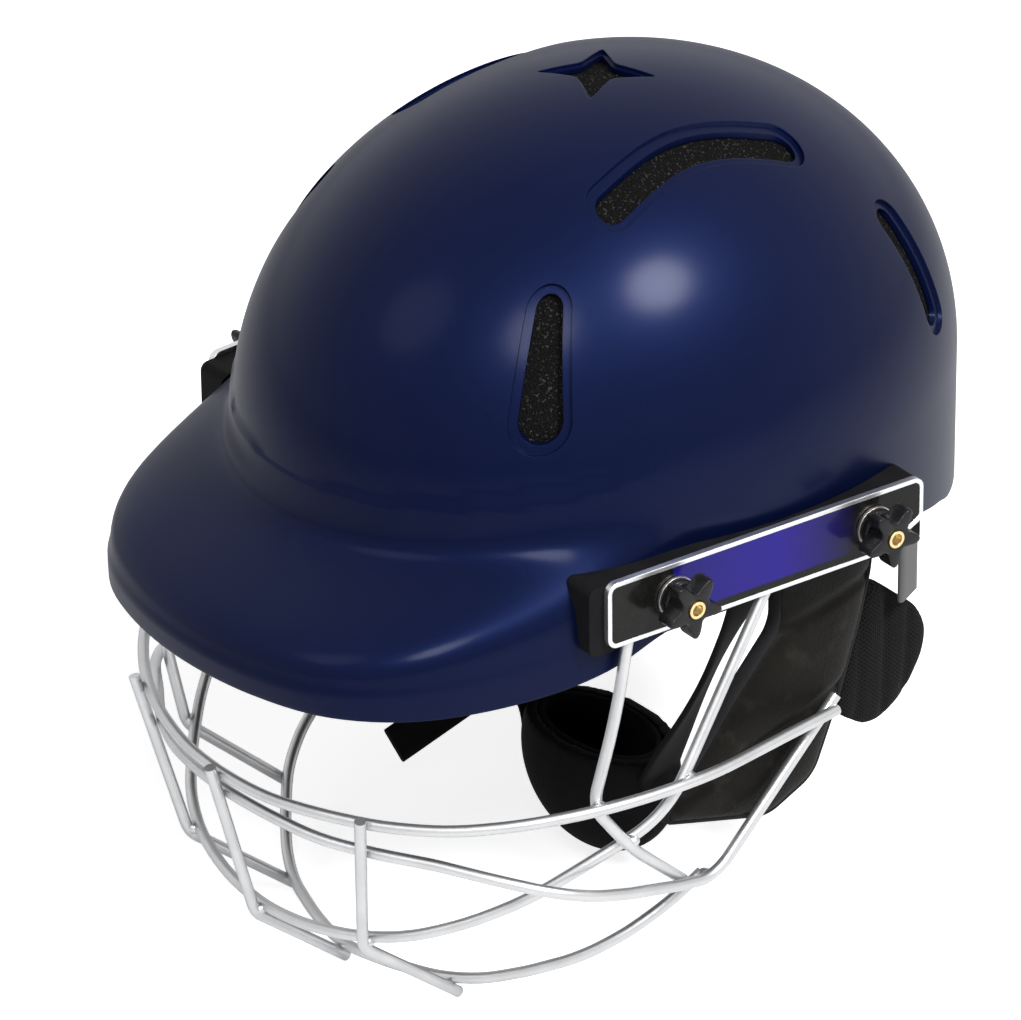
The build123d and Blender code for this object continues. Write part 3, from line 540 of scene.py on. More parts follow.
def bandSection(width, thickness, edge=4, flat=6):  # a flat band with rounded selvedges
    r, w = thickness / 2, width / 2 - thickness / 2
    right = [(w + r * cos(a), r * sin(a)) for a in np.linspace(-pi / 2, pi / 2, edge + 1)]
    left = [(-x, -y) for x, y in right]
    top = [(w * (1 - 2 * k / flat), r) for k in range(1, flat)]
    low = [(-x, -y) for x, y in top]
    return right + top + left + low


def mirrorPiece(made, name):
    bm = bmesh.new()
    bm.from_mesh(made.data)
    bmesh.ops.scale(bm, vec=(-1, 1, 1), verts=bm.verts)
    bmesh.ops.reverse_faces(bm, faces=bm.faces)
    mesh = bpy.data.meshes.new(name)
    bm.to_mesh(mesh)
    bm.free()
    twin = bpy.data.objects.new(name, mesh)
    bpy.context.scene.collection.objects.link(twin)
    return twin


# a left piece and its mirror image, each dressed
def makePair(made, material, body, sharp, node=""):
    twin = mirrorPiece(made, made.name.replace("left", "right"))
    for side, piece in zip(sides, (made, twin)):
        dress(piece, material, body.format(side=side), sharp, node.format(side=side))


def cornersOf(geometry):
    return [g for g in geometry if isinstance(g, bmesh.types.BMVert)]


def pullOut(bm, faces, way):  # flat faces become a block
    grown = bmesh.ops.extrude_face_region(bm, geom=faces)["geom"]
    bmesh.ops.translate(bm, vec=way, verts=cornersOf(grown))


def bevel(bm, geometry, size, steps, affect="VERTICES"):
    bmesh.ops.bevel(
        bm, geom=geometry, offset=size, offset_type="OFFSET", segments=steps, profile=0.5, affect=affect,
        material=-1,
    )


shellShape = {
    "halfWidth": 112.0, "halfLength": 139.0, "rise": 117.5, "middle": -95.0, "wall": 3.5,
    "creaseRound": 9.0, "sideRound": 1.0, "edgeRound": 0.9,
    "rimFront": -148.0, "rimArch": 20.0, "lipDepth": 30.0,
    # turns from the front, in degrees: the peak sinks into the dome over sinkTurns and stops at peakEnd,
    # and its crease gets tighter over softTurns; noPeak and farGap stand for its reach where it has none
    "peakEnd": 118.0, "sinkTurns": (92.0, 116.0), "sinkDepth": 40.0, "softTurns": (40.0, 72.0),
    "noPeak": -50.0, "farGap": 100.0,
    # the mesh, whose rows are spread above and below a knee, and the rises that the reach is worked out at
    "columns": 240, "rows": 110, "kneeRow": 0.60, "kneeRise": 3.0,
    "domeRises": (90.0, 6.0, 300), "sideRises": (5.95, -26.0, 800),
    "sectionSteps": 12, "profileSteps": 10, "rimSteps": 16,
}
peakShares = [
    (0.33, 0.978), (0.60, 0.915), (0.80, 0.785), (0.93, 0.571),
    (0.985, 0.35), (1.0, 0.054), (0.975, -0.19), (0.86, -0.33),
]
creaseShares = [
    (0.33, 0.944), (0.60, 0.80), (0.80, 0.60), (0.90, 0.436),
    (0.97, 0.243), (1.0, 0.02), (0.955, -0.26), (0.84, -0.45),
]
peakSections = [  # half width, reach, level, tilt and outline, from inside the dome out to the lip
    (93.0, 112.0, -90.0, 10.5, creaseShares),
    (108.0, 137.5, -106.0, 10.5, creaseShares),
    (106.5, 176.0, -127.0, 9.5, peakShares),
    (110.0, 184.0, -140.5, 5.6, peakShares),
]
rimShares = [
    (-1.50, 0.0), (-1.30, 0.0), (-0.86, 0.08), (-0.60, 0.30), (-0.44, 0.66), (-0.27, 0.93),
    (0.0, 1.0), (0.27, 0.93), (0.44, 0.72), (0.60, 0.42), (0.80, 0.10), (1.5, 0.10),
]


def sectionLine(halfWidth, reach, level, tilt, shares, drop=0.0):
    tilt = radians(tilt)
    side = [(x * halfWidth, -reach * y, level + reach * (1 - y) * tan(tilt)) for x, y in shares]
    line = [(-x, y, z) for x, y, z in reversed(side)] + [(0, -reach, level)] + side
    line = smoothLine(line, shellShape["sectionSteps"]) + np.array([0, drop * sin(tilt), -drop * cos(tilt)])
    turn = np.arctan2(line[:, 0], -line[:, 1])
    return turn, np.hypot(line[:, 0], line[:, 1]), line[:, 2] - shellShape["middle"]


sectionLines = [sectionLine(*section) for section in peakSections]
sectionLines.append(sectionLine(*peakSections[-1], shellShape["lipDepth"]))


def ease(value, low, high):  # 0 at the low end, 1 at the high end, with soft ends
    share = np.clip((value - low) / (high - low), 0, 1)
    return share * share * (3 - 2 * share)


# how far the outside is from the middle of the dome, at one turn from the front
def shellReach(turn, rises):
    s = shellShape
    flat = np.sqrt((np.sin(turn) / s["halfWidth"]) ** 2 + (np.cos(turn) / s["halfLength"]) ** 2)
    dome = np.where(
        rises > 0,
        1 / np.sqrt((np.cos(rises) * flat) ** 2 + (np.sin(rises) / s["rise"]) ** 2),
        1 / flat / np.cos(rises),
    )
    if abs(turn) > radians(s["peakEnd"]):
        return dome
    profile = [(np.interp(turn, t, r), np.interp(turn, t, z)) for t, r, z in sectionLines]
    profile = np.vstack([smoothLine(profile[:-1], s["profileSteps"]), profile[-1:]])
    angle = np.arctan2(profile[:, 1], profile[:, 0])
    peak = np.interp(-rises, -angle, np.hypot(profile[:, 0], profile[:, 1]), left=s["noPeak"])
    peak = peak - s["sinkDepth"] * ease(abs(turn), *np.radians(s["sinkTurns"]))
    front = 1 - ease(abs(turn), *np.radians(s["softTurns"]))
    soft = s["sideRound"] + (s["creaseRound"] - s["sideRound"]) * front
    swell = np.where(peak < 0, soft ** 2 / 4 / s["farGap"], 0)  # what the rounding adds where no peak is
    return (dome + peak + np.sqrt((dome - peak) ** 2 + soft ** 2)) / 2 - swell


def shellSurface():  # the outside as one open skin, from the crown down to the rim
    s = shellShape
    bm = bmesh.new()
    bmesh.ops.create_uvsphere(bm, u_segments=s["columns"], v_segments=s["rows"], radius=1)
    bmesh.ops.delete(bm, geom=[min(bm.verts, key=lambda v: v.co.z)], context="VERTS")
    rim = [(y * s["halfLength"], s["rimFront"] + z * s["rimArch"]) for y, z in rimShares]
    rimLine = smoothLine(rim, s["rimSteps"])
    spans = (s["domeRises"], s["sideRises"])
    fine = np.concatenate([np.linspace(radians(top), radians(low), count) for top, low, count in spans])
    domeCount = s["domeRises"][2]
    columns = {}
    for v in bm.verts:
        row = round(acos(max(-1, min(1, v.co.z))) / (pi / s["rows"]))
        turn = atan2(v.co.x, -v.co.y)
        key = round(turn, 4)
        if key not in columns:
            reach = shellReach(turn, fine)
            y = -np.cos(turn) * reach * np.cos(fine)
            over = s["middle"] + reach * np.sin(fine) - np.interp(y, rimLine[:, 0], rimLine[:, 1])
            cut = next(k for k in range(domeCount, len(fine)) if over[k] < 0)
            low = fine[cut] - (fine[cut - 1] - fine[cut]) * over[cut] / (over[cut - 1] - over[cut])
            columns[key] = (reach, low)
        reach, low = columns[key]
        share, knee = row / (s["rows"] - 1), radians(s["kneeRise"])
        if share < s["kneeRow"]:
            rise = pi / 2 - (pi / 2 - knee) * share / s["kneeRow"]
        else:
            rise = knee + (low - knee) * (share - s["kneeRow"]) / (1 - s["kneeRow"])
        far = np.interp(-rise, -fine, reach)
        flat = cos(rise) * far
        v.co = Vector((sin(turn) * flat, -cos(turn) * flat, s["middle"] + sin(rise) * far))
    bmesh.ops.recalc_face_normals(bm, faces=bm.faces)
    return bm


vents = {  # sizes and places in the dome, whose middle is the zero here
    "lip": 3.2, "recess": 1.4, "innerShare": 0.3,
    "starTip": 18.5, "starNotch": 7.5, "starRound": 2.2,
    "arcPlace": 49.5, "arcHalf": 38.0, "arcBow": 5.0, "arcRadius": 5.25,
    "frontTurn": 41.5, "frontTop": 76.0, "frontLow": 31.0, "frontRadii": (4.6, 7.6),
    "rearTurn": 135.0, "rearTop": 68.0, "rearLow": 24.0, "rearRadii": (4.6, 4.6),
    "upSpan": (60, 180), "outSpan": (30, 190),  # where the cutters start and end
    "legSteps": 20, "starSteps": 5, "stopRows": 160,
}


def slotCutter(bm, points, radii, out, up, span):  # a slot's outline, pushed along a direction
    legSteps = vents["legSteps"]
    ring = bmesh.ops.create_circle(bm, cap_ends=True, radius=1, segments=4 * legSteps)["verts"]
    line = smoothLine(points, legSteps)
    last = len(line) - 1
    tangent = np.gradient(line, axis=0)
    tangent /= np.linalg.norm(tangent, axis=1)[:, None]
    radius = np.linspace(radii[0], radii[1], len(line))
    out, up = Vector(out), Vector(up)
    side = up.cross(out)
    for k, v in enumerate(ring):
        leg, t = divmod(k / legSteps, 1)
        spot, angle = (
            (last, -pi / 2 + pi * t),  # round the far end
            (round((1 - t) * last), pi / 2),  # back along one side
            (0, pi / 2 + pi * t),  # round the near end
            (round(t * last), -pi / 2),  # out along the other side
        )[int(leg)]
        a, b = tangent[spot]
        edge = np.array((a * cos(angle) - b * sin(angle), b * cos(angle) + a * sin(angle)))
        x, y = line[spot] + radius[spot] * edge
        v.co = side * x + up * y + out * span[0]
    pullOut(bm, [ring[0].link_faces[0]], out * (span[1] - span[0]))


def ventCutter(name, lip):
    c = vents
    low, high = c["upSpan"]
    bm = bmesh.new()
    ring = bmesh.ops.create_circle(bm, cap_ends=True, radius=1, segments=8)["verts"]
    for v in ring:
        isTip = round(atan2(v.co.y, v.co.x) / (pi / 4)) % 2
        v.co = v.co.normalized() * (c["starTip"] + lip if isTip else c["starNotch"] + lip * c["innerShare"])
    bevel(bm, ring, c["starRound"], c["starSteps"])
    bmesh.ops.translate(bm, vec=(0, 0, low), verts=bm.verts)
    pullOut(bm, list(bm.faces), (0, 0, high - low))
    for side in (1, -1):
        far, near, half = side * (c["arcPlace"] + c["arcBow"]), side * c["arcPlace"], c["arcHalf"]
        arc = [(far, -half), (near, 0), (far, half)]
        slotCutter(bm, arc, [c["arcRadius"] + lip] * 2, (0, 0, 1), (0, 1, 0), c["upSpan"])
        for kind in ("front", "rear"):
            turn = radians(c[kind + "Turn"]) * side
            topRadius, lowRadius = c[kind + "Radii"]
            low, top = c[kind + "Low"] + lowRadius, c[kind + "Top"] - topRadius
            slot, radii = [(0, low), (0, (low + top) / 2), (0, top)], (lowRadius + lip, topRadius + lip)
            slotCutter(bm, slot, radii, (sin(turn), -cos(turn), 0), (0, 0, 1), c["outSpan"])
    bmesh.ops.translate(bm, vec=(0, 0, shellShape["middle"]), verts=bm.verts)
    bmesh.ops.recalc_face_normals(bm, faces=bm.faces)
    return bare(name, bm)


def innerForm(name, depth):  # the dome a little smaller, to stop the recesses
    s = shellShape
    bm = bmesh.new()
    bmesh.ops.create_uvsphere(bm, u_segments=s["columns"], v_segments=vents["stopRows"], radius=1)
    size = (s["halfWidth"] - depth, s["halfLength"] - depth, s["rise"] - depth)
    bmesh.ops.scale(bm, vec=size, verts=bm.verts)
    bmesh.ops.translate(bm, vec=(0, 0, s["middle"]), verts=bm.verts)
    return bare(name, bm)


def roundEdges(made, size):
    modify(made, "BEVEL", {
        "width": size * mm, "segments": 3, "limit_method": "ANGLE", "angle_limit": radians(50),
    })
    settle(made)


def cutAway(made, cutter):  # the exact solver sometimes leaves part of a cutter inside this shell
    modify(made, "BOOLEAN", {"operation": "DIFFERENCE", "object": cutter, "solver": "MANIFOLD"})
    settle(made)


def makeShell():
    shell = bare("helmet_shell", shellSurface())
    modify(shell, "SOLIDIFY", {"thickness": shellShape["wall"] * mm, "offset": -1, "use_even_offset": True})
    roundEdges(shell, shellShape["edgeRound"])
    recess, stop = ventCutter("recess", vents["lip"]), innerForm("stop", vents["recess"])
    through = ventCutter("through", 0)
    cutAway(recess, stop)
    cutAway(shell, recess)
    cutAway(shell, through)
    for spare in (recess, stop, through):
        bpy.data.objects.remove(spare)
    dress(shell, paint, "helmet", sharp=32, node="shell")


makeShell()
print("shell made")


def soften(made, voxel, rounds):  # even small faces with their edges smoothed
    modify(made, "REMESH", {"mode": "VOXEL", "voxel_size": voxel * mm})
    modify(made, "SMOOTH", {"factor": 0.5, "iterations": rounds})
    settle(made)


softForms = {  # size of the small faces, and rounds of smoothing
    "foam_liner": (2.2, 1), "crown_pad": (1.5, 3), "forehead_pad": (1.5, 4), "nape_pad": (1.5, 4),
    "left_temple_pad": (1.5, 4), "right_temple_pad": (1.5, 4), "chin_cup": (1.2, 3), "cup_lining": (0.9, 2),
}


def softCopy(node, name, shape=None):  # a solid's own form as foam or padding
    bm = bmesh.new()
    bm.from_mesh(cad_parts[node].data)
    bmesh.ops.remove_doubles(bm, verts=bm.verts, dist=1e-6)
    bmesh.ops.scale(bm, vec=(1 / mm, 1 / mm, 1 / mm), verts=bm.verts)
    made = bare(name, bm)
    soften(made, *softForms[node])
    if shape:
        bm = bmesh.new()
        bm.from_mesh(made.data)
        for v in bm.verts:
            v.co = shape(v.co / mm) * mm
        bm.to_mesh(made.data)
        bm.free()
    return made


padShape = {
    "swell": 0.8, "channel": 1.6, "channelWidth": 1.6, "channelTurn": 14.0, "row": -93.0,
    "halfWidth": 90.0, "halfLength": 116.5, "inside": 0.92,  # only the face towards the head is quilted
}


def quilted(co):  # sewn channels up the pad and one along it
    p = padShape
    turn = atan2(co.x, -co.y)
    step = radians(p["channelTurn"])
    off = abs((turn / step + 0.5) % 1 - 0.5) * step * hypot(co.x, co.y)
    off = min(off, abs(co.z - p["row"]))
    dip = p["swell"] - p["channel"] * np.exp(-(off / p["channelWidth"]) ** 2)
    if co.x ** 2 / p["halfWidth"] ** 2 + co.y ** 2 / p["halfLength"] ** 2 >= p["inside"]:
        return co
    return co - Vector((co.x, co.y, 0)).normalized() * dip


crownRibs = {"pitch": 11.0, "height": 0.9, "width": 1.5, "level": 3.0, "reach": 31.0}


def ribbedCrown(co):  # round ribs in the face that rests on the head
    c, far = crownRibs, hypot(co.x, co.y)
    if co.z >= c["level"] or far >= c["reach"]:
        return co
    off = abs((far / c["pitch"]) % 1 - 0.5) * c["pitch"]
    return co + Vector((0, 0, c["height"] * np.exp(-(off / c["width"]) ** 2)))


def makeLining():
    liner = softCopy("foam_liner", "liner_foam")
    dress(liner, foam, "helmet", sharp=40, node="foam_liner")
    for node in ("forehead_pad", "nape_pad", "left_temple_pad", "right_temple_pad"):
        pad = softCopy(node, node + "_cloth", quilted)
        dress(pad, cloth, "helmet", sharp=60, node=node)
    crown = softCopy("crown_pad", "crown_pad_cloth", ribbedCrown)
    dress(crown, cloth, "helmet", sharp=60, node="crown_pad")


makeLining()
print("liner and pads made")


def cornerPlaces(made):  # a mesh's corners in millimetres
    spots = np.zeros(len(made.data.vertices) * 3)
    made.data.vertices.foreach_get("co", spots)
    return spots.reshape(-1, 3) / mm


def lineDistance(points, start, end):  # how far points are from a straight stretch
    run = end - start
    t = np.clip(((points - start) @ run) / max(run @ run, 1e-9), 0, 1)
    return np.linalg.norm(points - (start + t[:, None] * run), axis=1)


def roundedOutline(points, corner):  # the outline's corners rounded, as a loop of points
    bm = bmesh.new()
    bm.faces.new([bm.verts.new((0, y, z)) for y, z in points])
    bevel(bm, list(bm.verts), corner, steps=6)
    bm.faces.ensure_lookup_table()
    loop = np.array([(v.co.y, v.co.z) for v in bm.faces[0].verts])
    bm.free()
    return loop


# a stuffed slab: thick in the middle, drawn in at the edges and along its seams
def paddedForm(name, form):
    loop = roundedOutline(form["outline"], form["corner"])
    bm = bmesh.new()
    inner, outer = form["faces"]
    middle, half = (inner + outer) / 2, (outer - inner) / 2
    face = bm.faces.new([bm.verts.new((inner, y, z)) for y, z in loop])
    pullOut(bm, [face], (outer - inner, 0, 0))
    bmesh.ops.recalc_face_normals(bm, faces=bm.faces)
    made = bare(name, bm)
    soften(made, form["voxel"], form["rounds"])
    co = cornerPlaces(made)
    flat = co[:, 1:]
    inside = np.min([lineDistance(flat, a, b) for a, b in zip(loop, np.roll(loop, -1, axis=0))], axis=0)
    share = np.clip(inside / form["roll"], 0, 1)
    depth = form["edge"] + (half - form["edge"]) * np.sqrt(1 - (1 - share) ** 2)
    for start, end, dip, width in form["seams"]:
        off = lineDistance(flat, np.array(start, float), np.array(end, float))
        depth -= dip * np.exp(-(off / width) ** 2)
    co[:, 0] = middle + (co[:, 0] - middle) / half * depth
    made.data.vertices.foreach_set("co", (co * mm).ravel())
    made.data.update()
    return made, loop


earGuard = {
    "faces": (90.0, 102.0), "corner": 5.0, "edge": 2.2, "roll": 16.0, "voxel": 1.3, "rounds": 3,
    "outline": [
        (2, -131), (44, -131), (44, -147), (39, -167), (29, -197),
        (18, -223), (-3, -232), (-51, -218), (-17, -178), (2, -158),
    ],
    "seams": [  # start, end, depth and width of each seam
        ((-40, -208), (31, -190), 1.6, 2.4),
        ((-4, -160), (42, -150), 1.3, 2.2),
        ((-30, -205), (-12, -228), 0.8, 2.0),
    ],
    # half the width and half the thickness of the edging, and its mesh
    "binding": (3.15, 1.5), "bindingSteps": 150, "bindingSides": 12,
}
hanger = {  # where it is and how large
    "place": 25.0, "middle": 96.0, "width": 34.0, "thickness": 5.0,
    "top": -111.5, "low": -143.0, "round": 1.6,
}
meshPad = {
    "faces": (77.7, 88.7), "corner": 7.0, "edge": 3.0, "roll": 11.0, "voxel": 1.3, "rounds": 3,
    "outline": [
        (55.6, -162), (79.8, -182.7), (82, -196.8), (71.9, -213.9), (56, -223), (38, -210.8), (45, -185),
    ],
    "seams": [
        ((50, -176), (48, -214), 0.9, 1.8),
        ((61, -172), (60, -218), 0.9, 1.8),
        ((72, -180), (70, -211), 0.9, 1.8),
    ],
}


def addHanger(guard):  # the guard's flat end, which runs up inside the shell
    h = hanger
    bm = bmesh.new()
    bm.from_mesh(guard.data)
    bmesh.ops.scale(bm, vec=(1 / mm, 1 / mm, 1 / mm), verts=bm.verts)
    tongue = bmesh.ops.create_cube(bm, size=1)["verts"]
    bmesh.ops.scale(bm, vec=(h["thickness"], h["width"], h["top"] - h["low"]), verts=tongue)
    bmesh.ops.translate(bm, vec=(h["middle"], h["place"], (h["top"] + h["low"]) / 2), verts=tongue)
    bevel(bm, list({e for v in tongue for e in v.link_edges}), h["round"], steps=4, affect="EDGES")
    bmesh.ops.scale(bm, vec=(mm, mm, mm), verts=bm.verts)
    bm.to_mesh(guard.data)
    bm.free()


def makeEarGuards():
    g = earGuard
    guard, loop = paddedForm("left_ear_guard_hide", g)
    addHanger(guard)
    path = evenLine(np.vstack([loop, loop[:1]]), g["bindingSteps"])[:-1]
    wide, deep = g["binding"]
    ring = [(wide * cos(a), deep * sin(a)) for a in np.linspace(0, 2 * pi, g["bindingSides"] + 1)[:-1]]
    middle = sum(g["faces"]) / 2
    bm = bmesh.new()
    sweep(bm, [(middle, y, z) for y, z in path], [(1, 0, 0)] * len(path), ring, closed=True)
    binding = bare("left_ear_guard_binding", bm)
    makePair(guard, leather, "helmet", sharp=60, node="{side}_ear_guard")
    makePair(binding, cloth, "helmet", sharp=60)


def makeMeshPads():
    pad, _ = paddedForm("left_mesh_pad_cloth", meshPad)
    makePair(pad, meshCloth, "helmet", sharp=60, node="{side}_mesh_pad")


makeEarGuards()
makeMeshPads()
print("ear guards and mesh pads made")


tab = {
    "width": 14.0, "thickness": 2.4, "top": -114.0, "low": -170.0, "place": 68.0, "inset": 1.8, "steps": 24,
}


def makeTabs():
    halfWidth, halfLength = (shellShape[k] - shellShape["wall"] for k in ("halfWidth", "halfLength"))
    x = halfWidth * sqrt(1 - (tab["place"] / halfLength) ** 2)
    out = Vector((x / halfWidth ** 2, tab["place"] / halfLength ** 2, 0)).normalized()
    centre = Vector((x, tab["place"], 0)) - out * tab["inset"]
    wide = Vector((0, 0, 1)).cross(out)
    path = [(centre.x, centre.y, z) for z in np.linspace(tab["top"], tab["low"], tab["steps"])]
    bm = bmesh.new()
    sweep(bm, path, [wide] * len(path), bandSection(tab["width"], tab["thickness"]))
    band = bare("left_tab_band", bm)
    makePair(band, tabWeave, "helmet", sharp=50, node="{side}_pad_tab")


makeTabs()
print("tabs made")


strap = {
    "width": 19.0, "thickness": 2.2, "lean": 17 / 124, "place": -17.0, "pivot": -119.0, "twist": 24.0,
    "run": [
        (104.8, -112), (104.8, -126), (98, -143), (82, -169), (66, -194),
        (50, -219), (37, -240), (34.6, -246), (34.6, -254),
    ],
    "roundSteps": 8, "steps": 110,
}
tongue = {  # the free end: how it slopes from the strap, and the strap's sideways run and rise there
    "width": 14.0, "thickness": 2.2, "halfRun": 25.6, "steps": 40,
    "slope": (5.0, 52.0), "strapRun": (-63.0, 100.0),
}


def harnessPoint(x, z):  # on the slanting plane that the straps hang in
    return (x, strap["place"] + (strap["pivot"] - z) * strap["lean"], z)


def leanAcross():  # across the strap, in that plane's slant
    return Vector((0, -1, -strap["lean"])).normalized()


def makeStraps():
    lean = leanAcross()
    path = smoothLine([harnessPoint(x, z) for x, z in strap["run"]], strap["roundSteps"])
    path = evenLine(path, strap["steps"])
    wide = []
    for share, run in zip(np.linspace(0, 1, len(path)), np.gradient(path, axis=0)):
        turn = radians(strap["twist"]) * sin(pi * share) ** 2
        outward = lean.cross(Vector(run)).normalized()
        wide.append(lean * cos(turn) + outward * sin(turn))
    bm = bmesh.new()
    sweep(bm, path, wide, bandSection(strap["width"], strap["thickness"]))
    band = bare("left_strap_band", bm)
    makePair(band, strapWeave, "chin_harness", sharp=50, node="{side}_chin_strap")


def makeTongue():
    low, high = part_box("strap_tongue")
    middle = (low + high) / 2 / mm
    turn = atan2(*tongue["slope"])
    across, up = tongue["strapRun"]
    run = Vector((across, -up * strap["lean"], up)).normalized()
    lean = leanAcross()
    ahead = lean * cos(turn) - run * sin(turn)
    flat = ahead.cross(run.cross(lean)).normalized()
    path = [middle + ahead * s for s in np.linspace(-tongue["halfRun"], tongue["halfRun"], tongue["steps"])]
    bm = bmesh.new()
    sweep(bm, path, [flat] * len(path), bandSection(tongue["width"], tongue["thickness"]))
    dress(bare("tongue_band", bm), strapWeave, "slider", sharp=50, node="strap_tongue")


def makeCup():
    cup = softCopy("chin_cup", "chin_cup_hide")
    dress(cup, hide, "chin_harness", sharp=60, node="chin_cup")
    lining = softCopy("cup_lining", "cup_lining_cloth")
    dress(lining, cloth, "chin_harness", sharp=60, node="cup_lining")


makeStraps()
makeTongue()
makeCup()
print("chin harness made")


knobShape = {
    "tip": 11.6, "notch": 6.0, "sharp": 1.7, "points": 5, "hole": 3.2, "segments": 100,
    "collar": 7.2, "collarHeight": 3.4, "height": 11.0, "edge": 0.7,
}
sidePlate = {  # where its face is, how far it turns in, and where the clamps sit along it
    "offset": 119.0, "toe": 3.0, "level": -116.5, "seat": 1.8, "clamps": (("front", -60.0), ("rear", 26.0)),
}


# a block with a round hole, whose outside is given by its reach at each angle
def ringBlock(bm, reach, low, high):
    k = knobShape
    rim = bmesh.ops.create_circle(bm, radius=1, segments=k["segments"])["verts"]
    edges = list({e for v in rim for e in v.link_edges})
    grown = bmesh.ops.extrude_edge_only(bm, edges=edges)["geom"]
    inner = cornersOf(grown)
    faces = list({f for v in inner for f in v.link_faces})
    for v in rim:
        far = reach(atan2(v.co.y, v.co.x))
        v.co = Vector((v.co.x * far, v.co.y * far, low))
    for v in inner:
        v.co = Vector((v.co.x * k["hole"], v.co.y * k["hole"], low))
    pullOut(bm, faces, (0, 0, high - low))


def starReach(angle):  # how far the knob's lobes reach at an angle
    k = knobShape
    lobe = (0.5 + 0.5 * cos(k["points"] * (angle + pi / 2))) ** k["sharp"]
    return k["notch"] + (k["tip"] - k["notch"]) * lobe


def makeKnobs():
    k, plate = knobShape, sidePlate
    toe = radians(plate["toe"])
    along, out = Vector((sin(toe), cos(toe), 0)), Vector((cos(toe), -sin(toe), 0))
    for end, place in plate["clamps"]:
        bm = bmesh.new()
        ringBlock(bm, lambda angle: k["collar"], 0, k["collarHeight"])
        ringBlock(bm, starReach, k["collarHeight"], k["height"])
        bmesh.ops.recalc_face_normals(bm, faces=bm.faces)
        seat = Vector((plate["offset"], 0, plate["level"])) + along * place + out * plate["seat"]
        turn = Matrix((
            (along.x, 0, out.x, seat.x),
            (along.y, 0, out.y, seat.y),
            (0, 1, 0, seat.z),
            (0, 0, 0, 1),
        ))
        bmesh.ops.transform(bm, matrix=turn, verts=bm.verts)
        made = bare(f"left_{end}_star_knob", bm)
        roundEdges(made, k["edge"])
        body, node = "{side}_" + end + "_clamp_knob", "{side}_" + end + "_knob"
        makePair(made, plastic, body, sharp=40, node=node)


makeKnobs()
print("knobs made")


weld = {"touch": 1.1, "apart": 6.0, "radius": 2.35, "swell": 1.25, "roundness": 3}
guardWires = [
    "top_hoop", "second_hoop", "main_hoop", "chin_hoop", "centre_bar", "left_side_bar", "right_side_bar",
    "left_front_brace", "right_front_brace", "right_tie_bar",
]


def searchTree(spots):
    tree = KDTree(len(spots))
    for k, spot in enumerate(spots):
        tree.insert(spot, k)
    tree.balance()
    return tree


def wireMeetings():  # groups of points halfway between wires that touch
    corners = {name: cornerPlaces(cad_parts[name]) for name in guardWires}
    trees = {name: searchTree(spots) for name, spots in corners.items()}
    groups = []
    for first, second in combinations(guardWires, 2):
        for spot in corners[first]:
            near, _, gap = trees[second].find(spot)
            if gap >= weld["touch"]:
                continue
            middle = (Vector(spot) + near) / 2
            group = next((g for g in groups if (g[0] - middle).length < weld["apart"]), None)
            if group:
                group.append(middle)
            else:
                groups.append([middle])
    return groups


def makeWelds():  # a small bead wherever two wires of the guard touch
    bm = bmesh.new()
    groups = wireMeetings()
    for group in groups:
        bead = bmesh.ops.create_icosphere(bm, subdivisions=weld["roundness"], radius=weld["radius"])["verts"]
        bmesh.ops.scale(bm, vec=(weld["swell"], weld["swell"], 1), verts=bead)
        bmesh.ops.translate(bm, vec=sum(group, Vector()) / len(group), verts=bead)
    print("weld beads", len(groups))
    dress(bare("guard_welds", bm), silver, "face_guard", sharp=60)


makeWelds()

# the other rigid pieces keep their own solids
repaint(silver, *guardWires)
repaint(metal, "left_side_plate", "right_side_plate")
repaint(film, "left_label", "right_label")
repaint(rubber, "left_backing_block", "right_backing_block")
repaint(plastic, "strap_slider")
repaint(brass, *[f"{side}_{end}_knob_insert" for side in sides for end in ("front", "rear")])
repaint(steel, "clamp_bolts", "clamp_washers", "ear_guard_studs", "strap_rivets")
print("solids painted")


studio = {  # floorLift makes the floor white to the camera, floorGloss is what reflections see of it
    "floor": -0.2950, "floorSize": 14.0, "floorTone": 0.90, "floorMottle": 0.01,
    "floorLift": 0.80, "floorGloss": 0.20, "ambient": 0.10,
    "lamps": [  # place, size and power
        ((1.18, 0.22, 1.20), 0.50, 34.0),
        ((1.02, -0.78, 1.12), 0.60, 18.0),
        ((-0.16, -1.40, 1.20), 0.80, 3.5),
    ],
    "aim": (0.0, -0.02, -0.12),
}


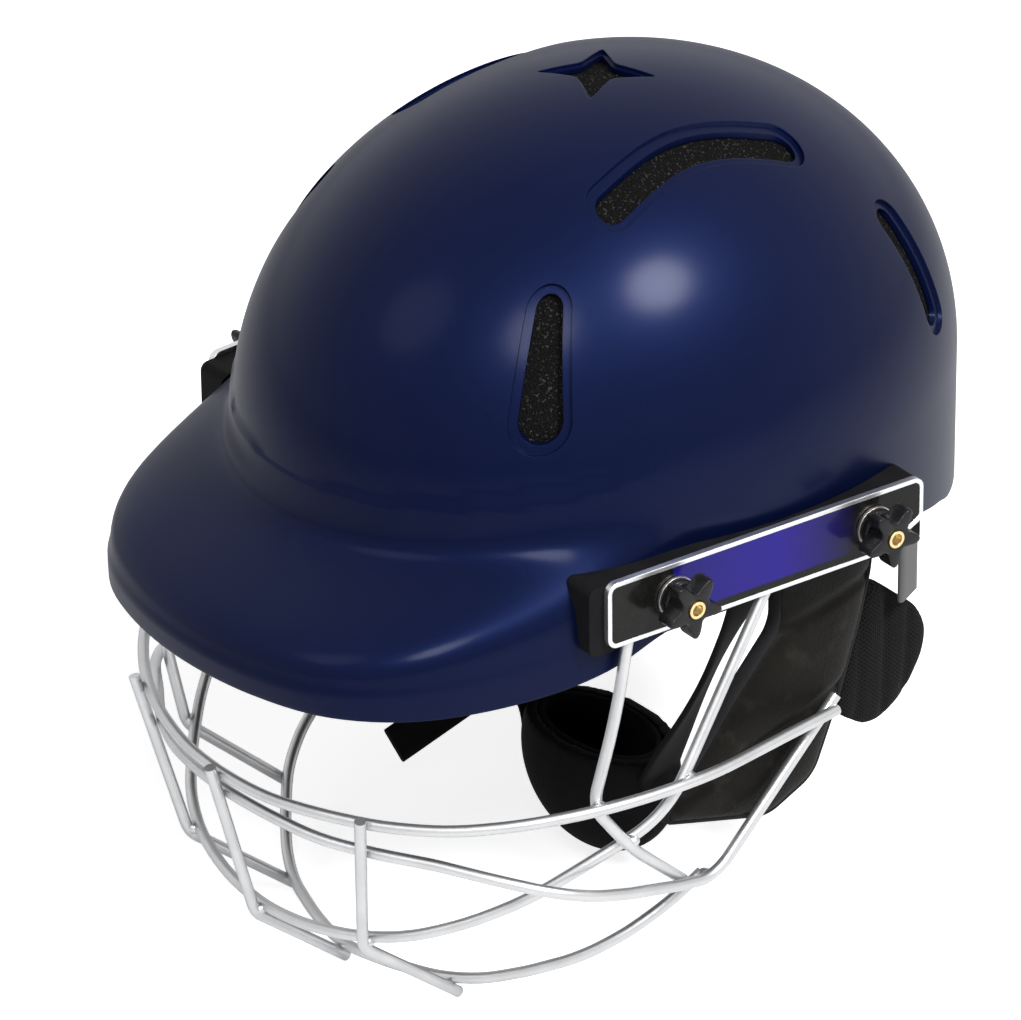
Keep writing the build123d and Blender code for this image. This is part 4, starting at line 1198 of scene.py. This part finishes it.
def makeFloor():
    bm = bmesh.new()
    bmesh.ops.create_grid(bm, x_segments=2, y_segments=2, size=studio["floorSize"] / 2 / mm)
    bmesh.ops.translate(bm, vec=(0, 0, studio["floor"] / mm), verts=bm.verts)
    floor = bare("floor", bm)
    pale = Finish("paleFloor", {"Roughness": 0.9, "Specular IOR Level": 0.1})
    seen = pale.node("ShaderNodeLightPath", {}, {}, "Is Camera Ray")
    gloss = pale.node("ShaderNodeLightPath", {}, {}, "Is Glossy Ray")
    through = pale.node("ShaderNodeLightPath", {}, {}, "Is Transmission Ray")
    shown = seen * studio["floorLift"] + (gloss + through) * studio["floorGloss"]
    glow = pale.node("ShaderNodeEmission", {}, {"Color": grey(1), "Strength": shown})
    both = pale.node("ShaderNodeAddShader", {}, {0: Value(pale.tree, pale.shader.outputs[0]), 1: glow})
    pale.tree.links.new(both.socket, pale.tree.nodes["Material Output"].inputs["Surface"])
    dark, light = studio["floorTone"], studio["floorTone"] + studio["floorMottle"]
    pale.set(Base_Color=pale.blend(pale.noise(3, detail=2), grey(dark), grey(light)))
    floor.data.materials.append(pale.material)


def makeWorld():
    world = bpy.data.worlds.new("studioWorld")
    bpy.context.scene.world = world
    world.use_nodes = True
    tree = world.node_tree
    path = tree.nodes.new("ShaderNodeLightPath")
    shown = Value(tree, path.outputs["Is Camera Ray"]) + Value(tree, path.outputs["Is Glossy Ray"])
    shown = (shown + Value(tree, path.outputs["Is Transmission Ray"])).join("MINIMUM", 1)
    strength = shown * (1 - studio["ambient"]) + studio["ambient"]
    tree.nodes["Background"].inputs["Color"].default_value = grey(1)
    tree.links.new(strength.socket, tree.nodes["Background"].inputs["Strength"])


def makeLamps():
    for k, (place, size, power) in enumerate(studio["lamps"]):
        lamp = bpy.data.lights.new("softbox" + str(k), "AREA")
        lamp.shape, lamp.size, lamp.energy = "DISK", size, power
        holder = bpy.data.objects.new(lamp.name, lamp)
        bpy.context.scene.collection.objects.link(holder)
        holder.location = place
        holder.rotation_mode = "QUATERNION"
        holder.rotation_quaternion = (Vector(studio["aim"]) - Vector(place)).to_track_quat("-Z", "Y")


makeFloor()
makeWorld()
makeLamps()
bpy.context.scene.view_settings.view_transform = "Standard"
print("studio made")
